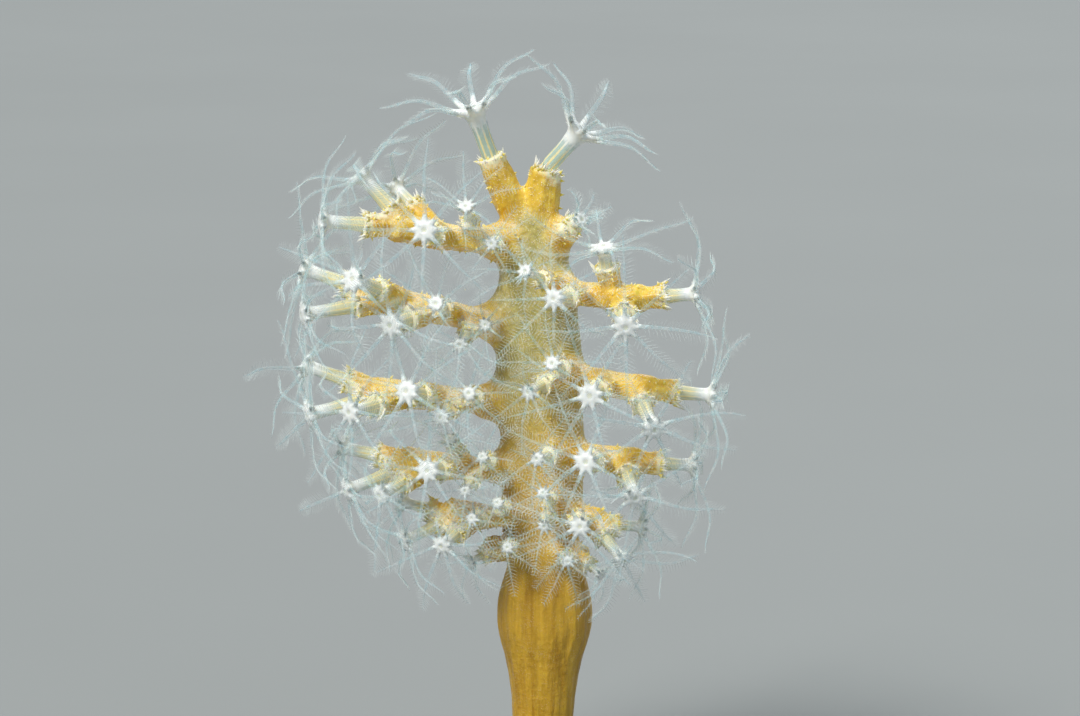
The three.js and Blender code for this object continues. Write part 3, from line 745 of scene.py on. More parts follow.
# %% [markdown]
# ## Rounding the polyps
#
# Large polyps take two levels of subdivision and small ones a single level, because each arm is
# thinner than a hair. The rounded mesh is kept rather than the modifier, so that two more numbers
# can be stored on its corners: ray, which draws the eight pale walls inside the neck, and clear,
# which tells the glassy polyps at the top from the denser ones on the leaves.

# %% Round the cages and mark them
def rounded(members, levels):
    cages = joined(polyp_cage(polyps[number], number) for number in members)
    return with_modifier(cages, "SUBSURF", levels=levels, render_levels=levels)


def mark_rays(mesh):
    points = read(mesh.vertices, "co", 3)
    owners = np.rint(read(mesh.attributes["number"].data, "value", 1)).astype(int)[:, 0]
    ray, clear = np.zeros((2, len(points)))
    for number in np.unique(owners):
        polyp = polyps[number]
        mine = owners == number
        turn = np.array(ring_turn(polyp).to_3x3())
        away = (points[mine] - np.array(polyp["centre"])) @ turn
        ray[mine] = 0.5 + 0.5 * np.cos(len(polyp["arms"]) * np.arctan2(away[:, 1], away[:, 0]))
        clear[mine] = polyp["clear"]
    store_numbers(mesh, "ray", ray)
    store_numbers(mesh, "clear", clear)


# %% Join the polyps by region
LARGE = 0.72
GROUPS = {
    "polyps_top": ("crown_", "left_1", "right_1", "right_2"),
    "polyps_left_middle": ("left_2", "left_3"),
    "polyps_left_low": ("left_4", "left_5", "left_6"),
    "polyps_right_low": ("right_3", "right_4", "right_5", "right_6"),
}


def is_at(name, places):
    """Whether a polyp, or the leaf whose solid it shares, is at one of these places."""
    return name.split("_", 1)[1].startswith(places)


def members_of(places):
    return [number for number, polyp in enumerate(polyps) if is_at(polyp["name"], places)]


polyp_pieces = {}
for piece_name, places in GROUPS.items():
    members = members_of(places)
    whole = bmesh.new()
    for large, levels in ((True, 2), (False, 1)):
        chosen = [number for number in members if (polyps[number]["size"] > LARGE) == large]
        add_mesh(whole, rounded(chosen, levels))
    mesh = as_mesh(piece_name, whole)
    mark_rays(mesh)
    shade_smooth(mesh)
    polyp_pieces[piece_name] = new_object(piece_name, mesh)
    print(piece_name, "polyps:", len(members), "faces:", len(mesh.polygons))

# %% [markdown]
# ## Many small copies
#
# Side branches, head spines and cup teeth come in thousands. Each kind has one small template made
# with mesh operators, and numpy places every copy at once from an origin and three directions.
# That gives plain joined meshes, which leave Blender whole, unlike hair or instances. A map gives
# each copy a patch of its own, so that one copy's colour can't run into the next.

# %% Make a template
def tapered_template(outline, sides, bend):
    """A closed spike up Z, of radius 1 at most, length 1, leaning to X by bend radii at its tip."""
    spike = bmesh.new()
    face = first_ring(spike, Vector((0, 0, 1)), radius=outline[0][1], segments=sides)
    for (_, before), (height, radius) in zip(outline, outline[1:]):
        face = extrude_up(spike, face)
        move_ring(face, Vector((bend * height * height, 0, height)), before, radius)
    close_up(spike)
    bmesh.ops.triangulate(spike, faces=spike.faces)
    return spike


# %% Copy a template
POLYP_CELLS = 8  # polyps lie in a square grid on their map
PATCH = 0.0014  # half width of one copy's patch on it


def copies(name, template, placings):
    """One mesh of many copies, each placed by an origin, its X, Y and Z directions and its patch."""
    origins, frames, patches = (np.array(column) for column in zip(*placings))
    corners = np.array([vert.co for vert in template.verts])
    faces = np.array([[vert.index for vert in face.verts] for face in template.faces])
    count, size = len(origins), len(corners)
    points = np.einsum("nij,vj->nvi", frames.transpose(0, 2, 1), corners) + origins[:, None]
    loops = (faces[None] + size * np.arange(count)[:, None, None]).ravel()
    mesh = bpy.data.meshes.new(name)
    mesh.vertices.add(count * size)
    mesh.vertices.foreach_set("co", points.astype(np.float32).ravel())
    mesh.loops.add(len(loops))
    mesh.loops.foreach_set("vertex_index", loops.astype(np.int32))
    mesh.polygons.add(len(loops) // 3)
    mesh.polygons.foreach_set("loop_start", np.arange(0, len(loops), 3, dtype=np.int32))
    mesh.update(calc_edges=True)
    layer = mesh.uv_layers.new(name="OFBake")
    spread = corners[:, :2] / max(abs(corners[:, :2]).max(), 1e-9) * PATCH
    flat = (patches[:, None] + spread[None]).reshape(-1, 2)[loops]
    layer.uv.foreach_set("vector", flat.astype(np.float32).ravel())
    shade_smooth(mesh)
    store_numbers(mesh, "along", np.tile(corners[:, 2], count))
    template.free()
    return new_object(name, mesh)


# %% [markdown]
# ## Pinnules
#
# The fine side branches make the feathery look. They stand in two rows, one on each side of the
# arm, evenly spaced and leaning a little towards the tip, shortest at both ends of the arm.

# %% Pinnules along every arm
PINNULE_SPACING = 0.27 * MM
PINNULE_START, PINNULE_RUN = 0.09, 0.9  # shares of the arm
PINNULE_RADIUS = 0.034 * MM
PINNULE_OUTLINE = [(0, 1.0), (0.5, 0.8), (1, 0.35)]
PINNULE_SIDES = 4
PINNULE_BEND = 2.2
PINNULE_LENGTH = [(0, 0.25), (0.12, 0.62), (0.35, 0.86), (0.7, 0.78), (0.92, 0.5), (1, 0.3)]
PINNULE_LEAN = math.radians(27)
PINNULE_COVER = 0.93  # share of the arm that the spacing counts on
PINNULE_SIZES, PINNULE_SWAY = (0.9, 1.1), 0.07
PINNULE_LIFT = (0.12, 0.09)  # towards the mouth: the mean and its spread
PATCH_MARGIN = 0.04
dice = np.random.default_rng(7)


def patch_centre(number, arm_number, side, share):
    """The place on the map: a square for each polyp, and in it a strip for each arm."""
    row, column = divmod(number, POLYP_CELLS)
    strip = (arm_number + 0.5 + 0.25 * side) / ARMS
    inner = 1 - 2 * PATCH_MARGIN
    return (
        (column + PATCH_MARGIN + inner * strip) / POLYP_CELLS,
        (row + PATCH_MARGIN + inner * share) / POLYP_CELLS,
    )


def pinnules_of(members):
    for number in members:
        polyp = polyps[number]
        for arm_number, arm in enumerate(polyp["arms"]):
            count = round(arm["length"] * PINNULE_COVER / PINNULE_SPACING)
            for step in range(count):
                share = PINNULE_START + PINNULE_RUN * (step + 0.5) / count
                centre, along, across, above = arm["curve"](share)
                half = outline_at(ARM_OUTLINE, share) * polyp["girth"] * MM
                for side in (-1, 1):
                    lean = PINNULE_LEAN + dice.normal(0, PINNULE_SWAY)
                    way = across * (side * math.cos(lean)) + along * math.sin(lean)
                    way = (way + above * dice.normal(*PINNULE_LIFT)).normalized()
                    length = outline_at(PINNULE_LENGTH, share) * MM * polyp["scale"]
                    length *= dice.uniform(*PINNULE_SIZES)
                    flat = along.cross(way).normalized()
                    bent = flat.cross(way) * -side
                    origin = centre + across * (side * half * 0.8) + above * half * 0.2
                    frame = bent * PINNULE_RADIUS, flat * PINNULE_RADIUS, way * length
                    yield origin, frame, patch_centre(number, arm_number, side, share)


pinnule_pieces = {}
for piece_name, places in GROUPS.items():
    name = piece_name.replace("polyps", "pinnules")
    template = tapered_template(PINNULE_OUTLINE, PINNULE_SIDES, PINNULE_BEND)
    pinnule_pieces[name] = copies(name, template, pinnules_of(members_of(places)))
    print(name, "triangles:", len(pinnule_pieces[name].data.polygons))

# %% [markdown]
# ## White spines on the heads
#
# Each head looks like a small white star, because needles of lime lie thickly where the arms
# begin. A fan of seven needles runs out over the root of each arm, and a second fan under it.

# %% Spines round the heads
SPINE_OUTLINE = [(0, 1.0), (0.45, 0.75), (1, 0.12)]
SPINE_SIDES = 4
SPINE_RADIUS = 0.028 * MM
SPINE_LENGTH = 0.64 * MM
SPINE_SIZES = (0.55, 1.1)
SPINE_FAN = 3.2  # how much a needle leans out for each millimetre across
SPINE_RISE, SPINE_LIFT = 0.2, 0.14  # how much it leans up or down, and starts above or below
SPINE_SINK = 0.12  # mm that its foot is set back
SPINE_OFFSETS = (-0.18, -0.12, -0.06, 0.0, 0.06, 0.12, 0.18)  # mm across the root of an arm


def frame_along(way, beside, radius):
    across = (beside - way * beside.dot(way.normalized()) / way.length).normalized()
    return across * radius, way.normalized().cross(across) * radius, way


def spines_of_heads():
    for number, polyp in enumerate(polyps):
        for arm_number, arm in enumerate(polyp["arms"]):
            root, along, across, above = arm["curve"](0.0)
            for offset in SPINE_OFFSETS:
                for under in (-1, 1):
                    length = SPINE_LENGTH * polyp["scale"] * dice.uniform(*SPINE_SIZES)
                    way = along + across * (offset * SPINE_FAN) - above * (SPINE_RISE * under)
                    start = root - along * SPINE_SINK * MM + across * (offset * MM * polyp["scale"])
                    start -= above * (under * SPINE_LIFT * MM * polyp["scale"])
                    radius = SPINE_RADIUS * polyp["scale"]
                    frame = frame_along(way.normalized() * length, across, radius)
                    yield start, frame, patch_centre(number, arm_number, offset * 4, 0.02)


template = tapered_template(SPINE_OUTLINE, SPINE_SIDES, 0.3)
head_spines = copies("head_spines", template, spines_of_heads())
print("head spines:", len(head_spines.data.polygons), "triangles")

# %% [markdown]
# ## Teeth round the cups
#
# Every cup ends in a ring of pointed teeth, each a bundle of pale needles that flares outwards.
# One middle spike with two lower ones at its sides gives a tooth. A tooth that would stand clear
# of its cup, where the real rim is cut at a slant, is set on the nearest place of the skin.

# %% Teeth
TEETH = 8
TOOTH_LENGTH = 0.85 * MM
TOOTH_RADIUS = 0.17 * MM
TOOTH_OUTLINE = [(0, 1.0), (0.4, 0.62), (1, 0.05)]
TOOTH_PARTS = [(0.0, 1.0), (-0.17, 0.5), (0.17, 0.6)]  # turn about the cup, share of size
TOOTH_SIZES, TOOTH_SHIFT = (0.6, 1.3), 0.16
TOOTH_FLARE, TOOTH_SWAY = math.radians(30), 0.12
TOOTH_RING = 0.88  # where the teeth stand, as a share of the rim's radius
TOOTH_DROP = 0.3  # mm down from the rim
TOOTH_SINK = 0.06 * MM


def rooted(foot, skin_tree):
    """The foot itself where it is in the flesh, or else the nearest place just under the skin."""
    nearest, normal, _, _ = skin_tree.find_nearest(foot)
    return nearest - normal * TOOTH_SINK if (foot - nearest).dot(normal) > -TOOTH_SINK else foot


def teeth_of_cups():
    skin_tree = BVHTree.FromObject(skin, bpy.context.evaluated_depsgraph_get())
    for number, polyp in enumerate(polyps):
        turn, axis = ring_turn(polyp), polyp["axis"]
        for tooth in range(TEETH):
            size = polyp["scale"] * dice.uniform(*TOOTH_SIZES)
            base_turn = 2 * math.pi * (tooth + dice.uniform(-TOOTH_SHIFT, TOOTH_SHIFT)) / TEETH
            for swing, share in TOOTH_PARTS:
                angle = base_turn + swing
                out = (turn @ Vector((math.cos(angle), math.sin(angle), 0))).normalized()
                flare = TOOTH_FLARE + dice.normal(0, TOOTH_SWAY)
                way = axis * math.cos(flare) + out * math.sin(flare)
                foot = polyp["rim"] + out * polyp["rim_radius"] * TOOTH_RING - axis * TOOTH_DROP * MM
                length = TOOTH_LENGTH * size * (0.45 + 0.55 * share)
                radius = TOOTH_RADIUS * size * (0.5 + 0.5 * share)
                frame = frame_along(way * length, axis.cross(out), radius)
                yield rooted(foot, skin_tree), frame, patch_centre(number, tooth, swing, 0.5)


template = tapered_template(TOOTH_OUTLINE, SPINE_SIDES, -0.25)
cup_teeth = copies("cup_teeth", template, teeth_of_cups())
print("cup teeth:", len(cup_teeth.data.polygons), "triangles")

# %% [markdown]
# ## Warts and grains
#
# Leaves and cups are rough with small pointed warts, and pale grains of lime lie in all the flesh.
# Both are scattered over the finished skin: a vertex is drawn at random, with better odds where
# the flesh is leaf, and a small copy is set on it along the skin's normal.

# %% Scatter warts and grains
WART_OUTLINE = [(0, 1.0), (0.5, 0.7), (1, 0.15)]
GRAIN_OUTLINE = [(0, 1.0), (0.7, 0.9), (1, 0.4)]
WART_SIZES, WART_SWAY = (0.5, 1.25), 0.25
WARTS, GRAINS_OF_LIME = 1500, 2600
wart_odds = (1 - zone_stalk) * (0.06 + zone_leaf ** 2) * (0.3 + zone_rim)
grain_odds = (1 - zone_stalk) * (1.3 - zone_leaf)


def map_place(points):
    """Round the stem and up it: the skin laid flat about its own middle."""
    turn = np.arctan2(points[:, 0], -points[:, 1]) / (2 * np.pi) + 0.5
    return np.stack((turn, points[:, 2] / skin_points[:, 2].max()), axis=1)


def scattered(odds, count, length, radius, sink):
    chosen = dice.choice(len(skin_points), count, replace=False, p=odds / odds.sum())
    normals = read(skin_mesh.vertices, "normal", 3)
    for index, patch in zip(chosen, map_place(skin_points[chosen])):
        normal = Vector(normals[index])
        lean = Vector(dice.normal(0, WART_SWAY, 3))
        size = dice.uniform(*WART_SIZES)
        way = (normal + lean).normalized() * length * size
        frame = frame_along(way, normal.orthogonal(), radius * size)
        yield Vector(skin_points[index]) - normal * sink, frame, patch


template = tapered_template(WART_OUTLINE, SPINE_SIDES, 0.4)
placings = scattered(wart_odds, WARTS, length=0.34 * MM, radius=0.13 * MM, sink=0.08 * MM)
warts = copies("leaf_warts", template, placings)
template = tapered_template(GRAIN_OUTLINE, SPINE_SIDES, 0.0)
placings = scattered(grain_odds, GRAINS_OF_LIME, length=0.09 * MM, radius=0.045 * MM, sink=0.03 * MM)
grains_of_lime = copies("lime_grains", template, placings)
print("warts:", len(warts.data.polygons), "grains:", len(grains_of_lime.data.polygons), "triangles")

# %% [markdown]
# ## Display base
#
# The colony would fall over without the sand it grows in, so it stands on a plain turned disc.
# A turned piece is a profile spun about its axis, and a bevel rounds its two edges.

# %% Turn the base
BASE_SEGMENTS = 128
EDGE_ROUND = 0.5 * MM
RIGHT_ANGLE = math.pi / 2
radius, _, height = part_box("stand_base")[1]
disc = bmesh.new()
profile = ((0, 0), (radius, 0), (radius, height), (0, height))
verts = [disc.verts.new((across, 0, up)) for across, up in profile]
edges = [disc.edges.new(pair) for pair in zip(verts, verts[1:])]
bmesh.ops.spin(
    disc, geom=verts + edges, cent=(0, 0, 0), axis=(0, 0, 1),
    angle=2 * math.pi, steps=BASE_SEGMENTS, use_merge=True,
)
bmesh.ops.remove_doubles(disc, verts=disc.verts, dist=0.001 * MM)
bmesh.ops.recalc_face_normals(disc, faces=disc.faces)
rims = [edge for edge in disc.edges if edge.calc_face_angle() > RIGHT_ANGLE / 2]
bmesh.ops.bevel(disc, geom=rims, offset=EDGE_ROUND, segments=4, profile=0.5, affect="EDGES", material=-1)
stand_disc = new_object("stand_disc", as_mesh("stand_disc", disc))
shade_smooth(stand_disc.data)
print("base faces:", len(stand_disc.data.polygons))

# %% [markdown]
# ## Helpers for materials
#
# A material here is a small graph that ends in a Principled shader. These helpers add a node, join
# sockets and read a stored number, so that each material below reads like a recipe.

# %% Node helpers
def new_material(name, *pieces):
    """A material on these pieces. Gives back its graph and its Principled shader."""
    material = bpy.data.materials.new(name)
    material.use_nodes = True
    for piece in pieces:
        piece.data.materials.append(material)
    return material.node_tree, material.node_tree.nodes["Principled BSDF"]


def add_node(tree, kind, **settings):
    node = tree.nodes.new(kind)
    for key, value in settings.items():
        setattr(node, key, value)
    return node


def feed(tree, node, **inputs):
    """Sets or links a node's inputs, named with underscores for spaces."""
    for key, value in inputs.items():
        socket = node.inputs[int(key[1:])] if key[0] == "_" else node.inputs[key.replace("_", " ")]
        if isinstance(value, bpy.types.NodeSocket):
            tree.links.new(value, socket)
        else:
            socket.default_value = value
    return node


# %% Recipes from nodes
def stored(tree, name):
    return add_node(tree, "ShaderNodeAttribute", attribute_name=name).outputs["Fac"]


def place_of(tree):
    return add_node(tree, "ShaderNodeTexCoord").outputs["Object"]


def cloud(tree, scale, detail=3.0, roughness=0.55, vector=None):
    noises = add_node(tree, "ShaderNodeTexNoise")
    feed(tree, noises, Vector=vector or place_of(tree), Scale=scale)
    return feed(tree, noises, Detail=detail, Roughness=roughness).outputs["Fac"]


def sum_up(tree, operation, first, second=0.0, third=0.0, clamp=False):
    node = add_node(tree, "ShaderNodeMath", operation=operation, use_clamp=clamp)
    return feed(tree, node, _0=first, _1=second, _2=third).outputs[0]


def stretch(tree, value, low, high, start=0.0, end=1.0):
    """Maps low..high to start..end along a smooth step."""
    node = add_node(tree, "ShaderNodeMapRange", interpolation_type="SMOOTHSTEP")
    feed(tree, node, Value=value, From_Min=low, From_Max=high, To_Min=start, To_Max=end)
    return node.outputs["Result"]


def blend(tree, share, first, second):
    """One colour or socket turning into another as the share goes from 0 to 1."""
    sockets = bpy.types.NodeSocket
    start, end = (colour if isinstance(colour, sockets) else (*colour, 1) for colour in (first, second))
    mixer = add_node(tree, "ShaderNodeMix", data_type="RGBA")
    return feed(tree, mixer, _0=share, _6=start, _7=end).outputs[2]


def mix_of(tree, first, share, second, rest):
    """Two clouds added up, each with its own weight."""
    return sum_up(tree, "MULTIPLY_ADD", first, share, sum_up(tree, "MULTIPLY", second, rest))


def drawn_out(tree, scale, *settings):
    """Noise with a scale of its own along each direction."""
    turn = add_node(tree, "ShaderNodeMapping")
    feed(tree, turn, Vector=place_of(tree), Scale=scale)
    return cloud(tree, *settings, vector=turn.outputs["Vector"])


def bump(tree, height, strength, distance):
    node = add_node(tree, "ShaderNodeBump")
    return feed(tree, node, Height=height, Strength=strength, Distance=distance).outputs["Normal"]


# %% [markdown]
# ## Floor and light
#
# A plain pale floor and large soft lamps, as in a studio. They hang far off, so that the floor
# is lit evenly to its end. The key light comes from the upper left and in front, a weaker one
# fills the right, and one behind picks out the clear arms along their edges. The sky glows
# weakly, but where the camera sees it, it is as bright as the floor.

# %% Floor, lamps and sky
FLOOR_SIZE = 6.0  # metres
CLEAR_LAYERS = 48  # as many clear arms may lie one behind the other
SUBJECT = Vector((0, 0, 38 * MM))
LAMPS = [  # name, place, side in metres, power in watts, colour
    ("key", (-4.2, -4.8, 7.5), 3.3, 936.0, (1.0, 0.97, 0.92)),
    ("fill", (7.2, -6.0, 3.6), 7.2, 130.0, (0.86, 0.94, 1.0)),
    ("rim", (2.1, 7.5, 6.0), 6.6, 396.0, (0.9, 0.97, 1.0)),
]
SKY_TINT = (0.86, 0.93, 0.95)
SKY_GLOW, SKY_SEEN = 0.22, 0.47

sheet = bmesh.new()
bmesh.ops.create_grid(sheet, x_segments=1, y_segments=1, size=FLOOR_SIZE / 2)
floor = new_object("floor", as_mesh("floor", sheet))
for name, place, side, power, colour in LAMPS:
    light = bpy.data.lights.new(name, "AREA")
    light.size, light.energy, light.color = side, power, colour
    lamp = new_object(name, light)
    lamp.location = place
    lamp.rotation_euler = (Vector(place) - SUBJECT).to_track_quat("Z", "Y").to_euler()

scene = bpy.context.scene
scene.world = bpy.data.worlds.new("sky")
scene.world.use_nodes = True
tree = scene.world.node_tree
seen = add_node(tree, "ShaderNodeLightPath").outputs["Is Camera Ray"]
strength = sum_up(tree, "MULTIPLY_ADD", seen, SKY_SEEN - SKY_GLOW, SKY_GLOW)
feed(tree, tree.nodes["Background"], Color=(*SKY_TINT, 1), Strength=strength)
scene.view_settings.view_transform = "Standard"
scene.cycles.transparent_max_bounces = CLEAR_LAYERS
scene.cycles.max_bounces = 6
scene.cycles.diffuse_bounces = 3
print("lamps:", len(LAMPS), "floor:", FLOOR_SIZE, "m")

# %% [markdown]
# ## Granules
#
# All the flesh is full of tiny white needles and grains of lime. They are one effect on several
# finishes, so they are a node group: it puts out a mask of pale grains, and a height that lets the
# same grains stand up a little.

# %% The grain group
GRAINS = bpy.data.node_groups.new("lime grains", "ShaderNodeTree")
for name, way, kind in (
    ("Vector", "INPUT", "Vector"), ("Scale", "INPUT", "Float"), ("Cover", "INPUT", "Float"),
    ("Mask", "OUTPUT", "Float"), ("Height", "OUTPUT", "Float"),
):
    GRAINS.interface.new_socket(name, in_out=way, socket_type="NodeSocket" + kind)
inputs = add_node(GRAINS, "NodeGroupInput").outputs
cells = add_node(GRAINS, "ShaderNodeTexVoronoi", feature="F1")
feed(GRAINS, cells, Vector=inputs["Vector"], Scale=inputs["Scale"])
patches = cloud(GRAINS, 900.0, 2.0, vector=inputs["Vector"])
reach = sum_up(GRAINS, "MULTIPLY", inputs["Cover"], sum_up(GRAINS, "MULTIPLY", patches, 1.7))
mask = stretch(GRAINS, sum_up(GRAINS, "SUBTRACT", reach, cells.outputs["Distance"]), 0.0, 0.2)
height = sum_up(GRAINS, "SUBTRACT", 1.0, cells.outputs["Distance"])
feed(GRAINS, add_node(GRAINS, "NodeGroupOutput"), Mask=mask, Height=height)


def grains(tree, scale, cover):
    node = add_node(tree, "ShaderNodeGroup", node_tree=GRAINS)
    feed(tree, node, Vector=place_of(tree), Scale=scale, Cover=cover)
    return node.outputs["Mask"], node.outputs["Height"]


print("group sockets:", [item.name for item in GRAINS.interface.items_tree])

# %% [markdown]
# ## Flesh of stem and leaves
#
# Three colours flow into each other: ochre on the stalk, drawn out into long streaks, clear
# olive on the rachis, and orange yellow on the leaves, which pale to cream at the cups' rims.
# The stored numbers mix them, clouds break them up, and light passes a little way in.

# %% Skin material
STALK_DARK, STALK_LIGHT = (0.40, 0.20, 0.006), (0.80, 0.50, 0.045)
RACHIS_DARK, RACHIS_LIGHT = (0.38, 0.33, 0.08), (0.70, 0.62, 0.25)
RACHIS_GOLD = (0.80, 0.50, 0.05)  # towards the stalk
LEAF_DARK, LEAF_LIGHT = (0.60, 0.33, 0.008), (1.0, 0.76, 0.12)
GOLD_FADES = (0.027, 0.043)  # heights, in metres, between which the rachis loses its gold
RIM_CREAM = (0.98, 0.90, 0.62)
LIME_WHITE = (0.95, 0.93, 0.82)
LINE_SCALE, BAND_SCALE = (3800.0, 3800.0, 220.0), (700.0, 700.0, 90.0)  # both run up the stem

tree, shader = new_material("sea pen flesh", skin)
leaf, stalk, rim = stored(tree, "leaf"), stored(tree, "stalk"), stored(tree, "rim")
broad = stretch(tree, cloud(tree, 420.0), 0.25, 0.75)
fine = stretch(tree, cloud(tree, 2200.0, 4.0), 0.28, 0.72)
lines = stretch(tree, drawn_out(tree, LINE_SCALE, 1.0, 4.0), 0.25, 0.75)
bands = stretch(tree, drawn_out(tree, BAND_SCALE, 1.0, 4.0), 0.3, 0.7)
stalk_colour = blend(tree, mix_of(tree, lines, 0.35, bands, 0.65), STALK_DARK, STALK_LIGHT)
rachis_colour = blend(tree, mix_of(tree, fine, 0.5, bands, 0.5), RACHIS_DARK, RACHIS_LIGHT)
height_up = feed(tree, add_node(tree, "ShaderNodeSeparateXYZ"), Vector=place_of(tree)).outputs["Z"]
golden = stretch(tree, height_up, *GOLD_FADES, 0.85, 0.0)
rachis_colour = blend(tree, golden, rachis_colour, RACHIS_GOLD)
leaf_colour = blend(tree, mix_of(tree, fine, 0.4, broad, 0.6), LEAF_DARK, LEAF_LIGHT)
colour = blend(tree, leaf, rachis_colour, leaf_colour)
colour = blend(tree, stalk, colour, stalk_colour)
rim_edge = sum_up(tree, "MULTIPLY_ADD", fine, 0.3, rim)
colour = blend(tree, stretch(tree, rim_edge, 0.4, 0.95), colour, RIM_CREAM)
specks, height = grains(tree, 6500.0, 0.36)
bare_stalk = sum_up(tree, "SUBTRACT", 1.0, sum_up(tree, "MULTIPLY", stalk, 0.8))
specks = sum_up(tree, "MULTIPLY", specks, sum_up(tree, "MULTIPLY", bare_stalk, 0.75))
colour = blend(tree, specks, colour, LIME_WHITE)
rough = sum_up(tree, "MULTIPLY_ADD", fine, 0.22, 0.34)
relief = sum_up(tree, "ADD", sum_up(tree, "MULTIPLY", height, 0.5), sum_up(tree, "ADD", fine, lines))
normal = bump(tree, relief, 0.55, 0.06 * MM)
feed(tree, shader, Base_Color=colour, Roughness=rough, Normal=normal)
feed(tree, shader, Subsurface_Weight=0.4, Subsurface_Radius=(1.0, 0.7, 0.2), Subsurface_Scale=0.6 * MM)
feed(tree, shader, IOR=1.4, Coat_Weight=0.25, Coat_Roughness=0.2)
print("skin material:", len(tree.nodes), "nodes")

# %% [markdown]
# ## Clear polyps
#
# Head and arm roots are white and dense, the neck shows eight pale walls with clearer tissue
# between, and the arms are clear blue green tubes whose walls look denser edge on. Alpha gives the
# clearness, because it goes into an exported model more surely than real refraction does.

# %% Polyp material
HEAD_WHITE = (0.88, 0.92, 0.91)
NECK_CREAM = (0.97, 0.82, 0.42)
NECK_CLEAR = (0.5, 0.8, 0.84)
ARM_TEAL = (0.36, 0.74, 0.84)
ARM_PALE = (0.92, 1.0, 1.0)

tree, shader = new_material("clear polyp tissue", *polyp_pieces.values())
reach, ray, clear = stored(tree, "reach"), stored(tree, "ray"), stored(tree, "clear")
fine = cloud(tree, 2600.0, 3.0)
edge = feed(tree, add_node(tree, "ShaderNodeLayerWeight"), Blend=0.35)
ragged = sum_up(tree, "MULTIPLY_ADD", sum_up(tree, "SUBTRACT", fine, 0.5), 0.3, reach)
on_head = sum_up(tree, "MULTIPLY_ADD", clear, -0.1, ragged)
below_arms = stretch(tree, on_head, 1.0, 1.17, 1.0, 0.0)
white = sum_up(tree, "MULTIPLY", stretch(tree, ragged, 0.55, 0.9), below_arms)
wall = stretch(tree, sum_up(tree, "MULTIPLY_ADD", fine, 0.4, ray), 0.55, 1.1)
on_arm = stretch(tree, reach, 0.98, 1.06)
dense = sum_up(tree, "MULTIPLY_ADD", clear, -0.45, 0.65)
wall_colour = blend(tree, stretch(tree, reach, 0.4, 0.95), NECK_CREAM, HEAD_WHITE)
solid = sum_up(tree, "MAXIMUM", wall, dense)
neck = blend(tree, solid, NECK_CLEAR, wall_colour)
specks, height = grains(tree, 9000.0, 0.3)
arm = blend(tree, sum_up(tree, "MAXIMUM", specks, stretch(tree, fine, 0.35, 0.65)), ARM_TEAL, ARM_PALE)
colour = blend(tree, white, blend(tree, on_arm, neck, arm), HEAD_WHITE)
neck_cover = sum_up(tree, "MULTIPLY_ADD", solid, 0.5, 0.48, clamp=True)
arm_cover = stretch(tree, edge.outputs["Facing"], 0.3, 0.9, 0.14, 0.62)
arm_cover = sum_up(tree, "MULTIPLY_ADD", specks, 0.3, arm_cover)
cover_mix = add_node(tree, "ShaderNodeMix", data_type="FLOAT")
cover = feed(tree, cover_mix, _0=on_arm, _2=neck_cover, _3=arm_cover).outputs[0]
alpha = sum_up(tree, "MAXIMUM", cover, white, clamp=True)
normal = bump(tree, sum_up(tree, "ADD", height, fine), 0.4, 0.03 * MM)
feed(tree, shader, Base_Color=colour, Alpha=alpha, Normal=normal)
feed(tree, shader, Roughness=0.3, IOR=1.38, Subsurface_Weight=0.3)
feed(tree, shader, Subsurface_Radius=(1.0, 0.9, 0.8), Subsurface_Scale=0.4 * MM)
print("polyp material:", len(tree.nodes), "nodes")

# %% [markdown]
# ## Pinnules, spines and teeth
#
# Pinnules are the same clear tissue with a paler tip. The spines are lime white all over. Teeth,
# warts and grains differ only in the colours of foot and tip, so one loop makes them: the number
# along, which is stored on each copy, turns one colour into the other.

# %% Materials of the small copies
PINNULE_FOOT = (0.70, 0.92, 0.95)
COPY_FINISHES = [  # name, piece, colours of foot and tip, and where one turns into the other
    ("lime spines", head_spines, HEAD_WHITE, HEAD_WHITE, 0.0, 1.0),
    ("lime teeth", cup_teeth, LEAF_LIGHT, LIME_WHITE, 0.15, 0.7),
    ("wart flesh", warts, LEAF_LIGHT, RIM_CREAM, 0.5, 1.2),
    ("lime grains in flesh", grains_of_lime, RIM_CREAM, LIME_WHITE, 0.2, 0.9),
]

tree, shader = new_material("clear pinnules", *pinnule_pieces.values())
fine = cloud(tree, 3500.0, 2.0)
colour = blend(tree, mix_of(tree, stored(tree, "along"), 0.5, fine, 0.8), PINNULE_FOOT, ARM_PALE)
alpha = sum_up(tree, "MULTIPLY_ADD", fine, 0.22, 0.06, clamp=True)
feed(tree, shader, Base_Color=colour, Alpha=alpha, Roughness=0.35, IOR=1.38)
for piece in pinnule_pieces.values():
    piece.visible_shadow = False
for name, piece, foot, tip, low, high in COPY_FINISHES:
    tree, shader = new_material(name, piece)
    fine = cloud(tree, 3000.0, 3.0)
    share = stretch(tree, sum_up(tree, "MULTIPLY_ADD", fine, 0.3, stored(tree, "along")), low, high)
    feed(tree, shader, Base_Color=blend(tree, share, foot, tip), Normal=bump(tree, fine, 0.5, 0.04 * MM))
    feed(tree, shader, Roughness=0.45, Subsurface_Weight=0.4)
    feed(tree, shader, Subsurface_Radius=(1.0, 0.85, 0.6), Subsurface_Scale=0.3 * MM)
print("finishes of the copies:", 1 + len(COPY_FINISHES))

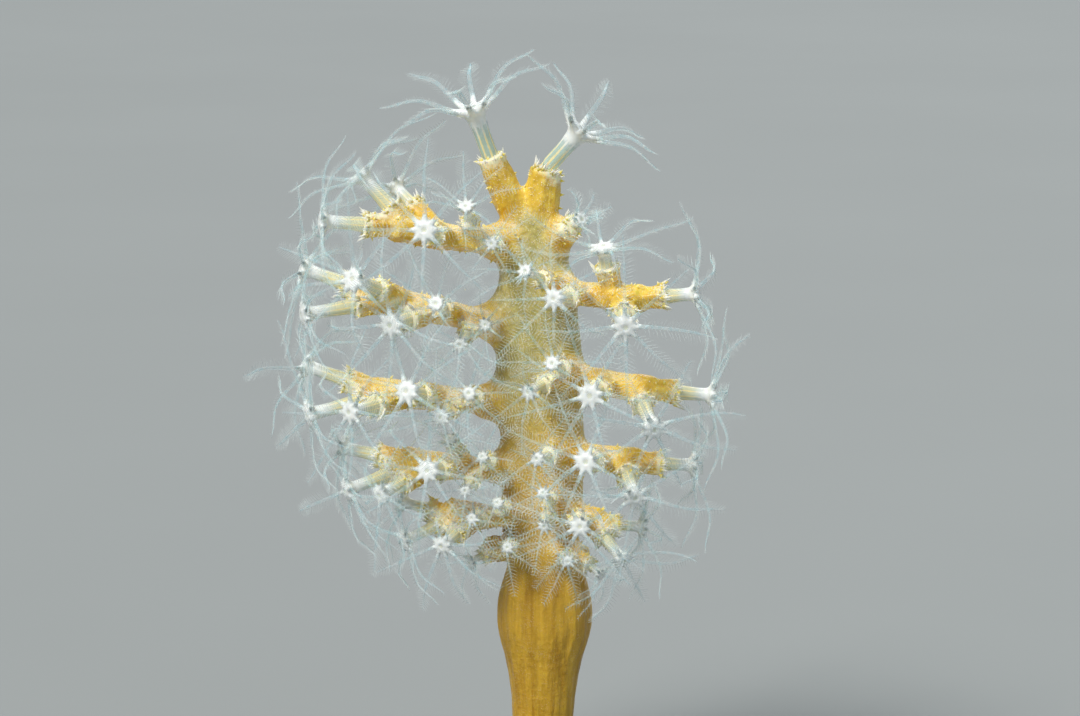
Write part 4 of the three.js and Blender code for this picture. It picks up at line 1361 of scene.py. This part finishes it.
# %% [markdown]
# ## Stained wood and plain floor
#
# The base is close-grained wood, stained nearly black and rubbed to a satin shine. Its grain is
# noise drawn out along one direction. The floor is a plain pale sheet with the faintest mottle.

# %% Base and floor materials
WOOD_DARK, WOOD_LIGHT = (0.012, 0.010, 0.009), (0.055, 0.040, 0.030)
FLOOR_TONE = (0.31, 0.33, 0.335)
GRAIN_SCALE = (60.0, 1400.0, 1400.0)  # drawn out along X
MOTTLE = 0.97

tree, shader = new_material("stained wood", stand_disc)
grain = drawn_out(tree, GRAIN_SCALE, 1.0, 6.0, 0.6)
pores = stretch(tree, drawn_out(tree, GRAIN_SCALE, 2.4, 2.0, 0.5), 0.58, 0.7)
colour = blend(tree, stretch(tree, grain, 0.35, 0.7), WOOD_DARK, WOOD_LIGHT)
rough = sum_up(tree, "MULTIPLY_ADD", grain, 0.2, 0.28)
normal = bump(tree, sum_up(tree, "SUBTRACT", grain, pores), 0.3, 0.03 * MM)
feed(tree, shader, Base_Color=colour, Roughness=rough, Normal=normal)
feed(tree, shader, Coat_Weight=0.2, Coat_Roughness=0.3)

tree, shader = new_material("pale floor", floor)
darker = tuple(tone * MOTTLE for tone in FLOOR_TONE)
mottle = stretch(tree, cloud(tree, 9.0), 0.3, 0.7)
feed(tree, shader, Base_Color=blend(tree, mottle, darker, FLOOR_TONE), Roughness=0.8)
print("materials:", len(bpy.data.materials))

# %% [markdown]
# ## Tying the pieces to the frame
#
# Each visible piece rides on the model's one body, and the solids it stands for are hidden. Only the floor
# isn't part of the object.

# %% Ride and replace
def settle(piece, replaced=()):
    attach(piece, "root")
    if replaced:
        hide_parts(*replaced)


settle(skin, STEM_NAMES + LEAF_NAMES)
for piece_name, places in GROUPS.items():
    replaced = [name for name in sorted(nodes) if name.startswith("polyp_") and is_at(name, places)]
    settle(polyp_pieces[piece_name], replaced)
    settle(pinnule_pieces[piece_name.replace("polyps", "pinnules")])
settle(head_spines)
for piece in (cup_teeth, warts, grains_of_lime):
    settle(piece)
settle(stand_disc, ["stand_base"])
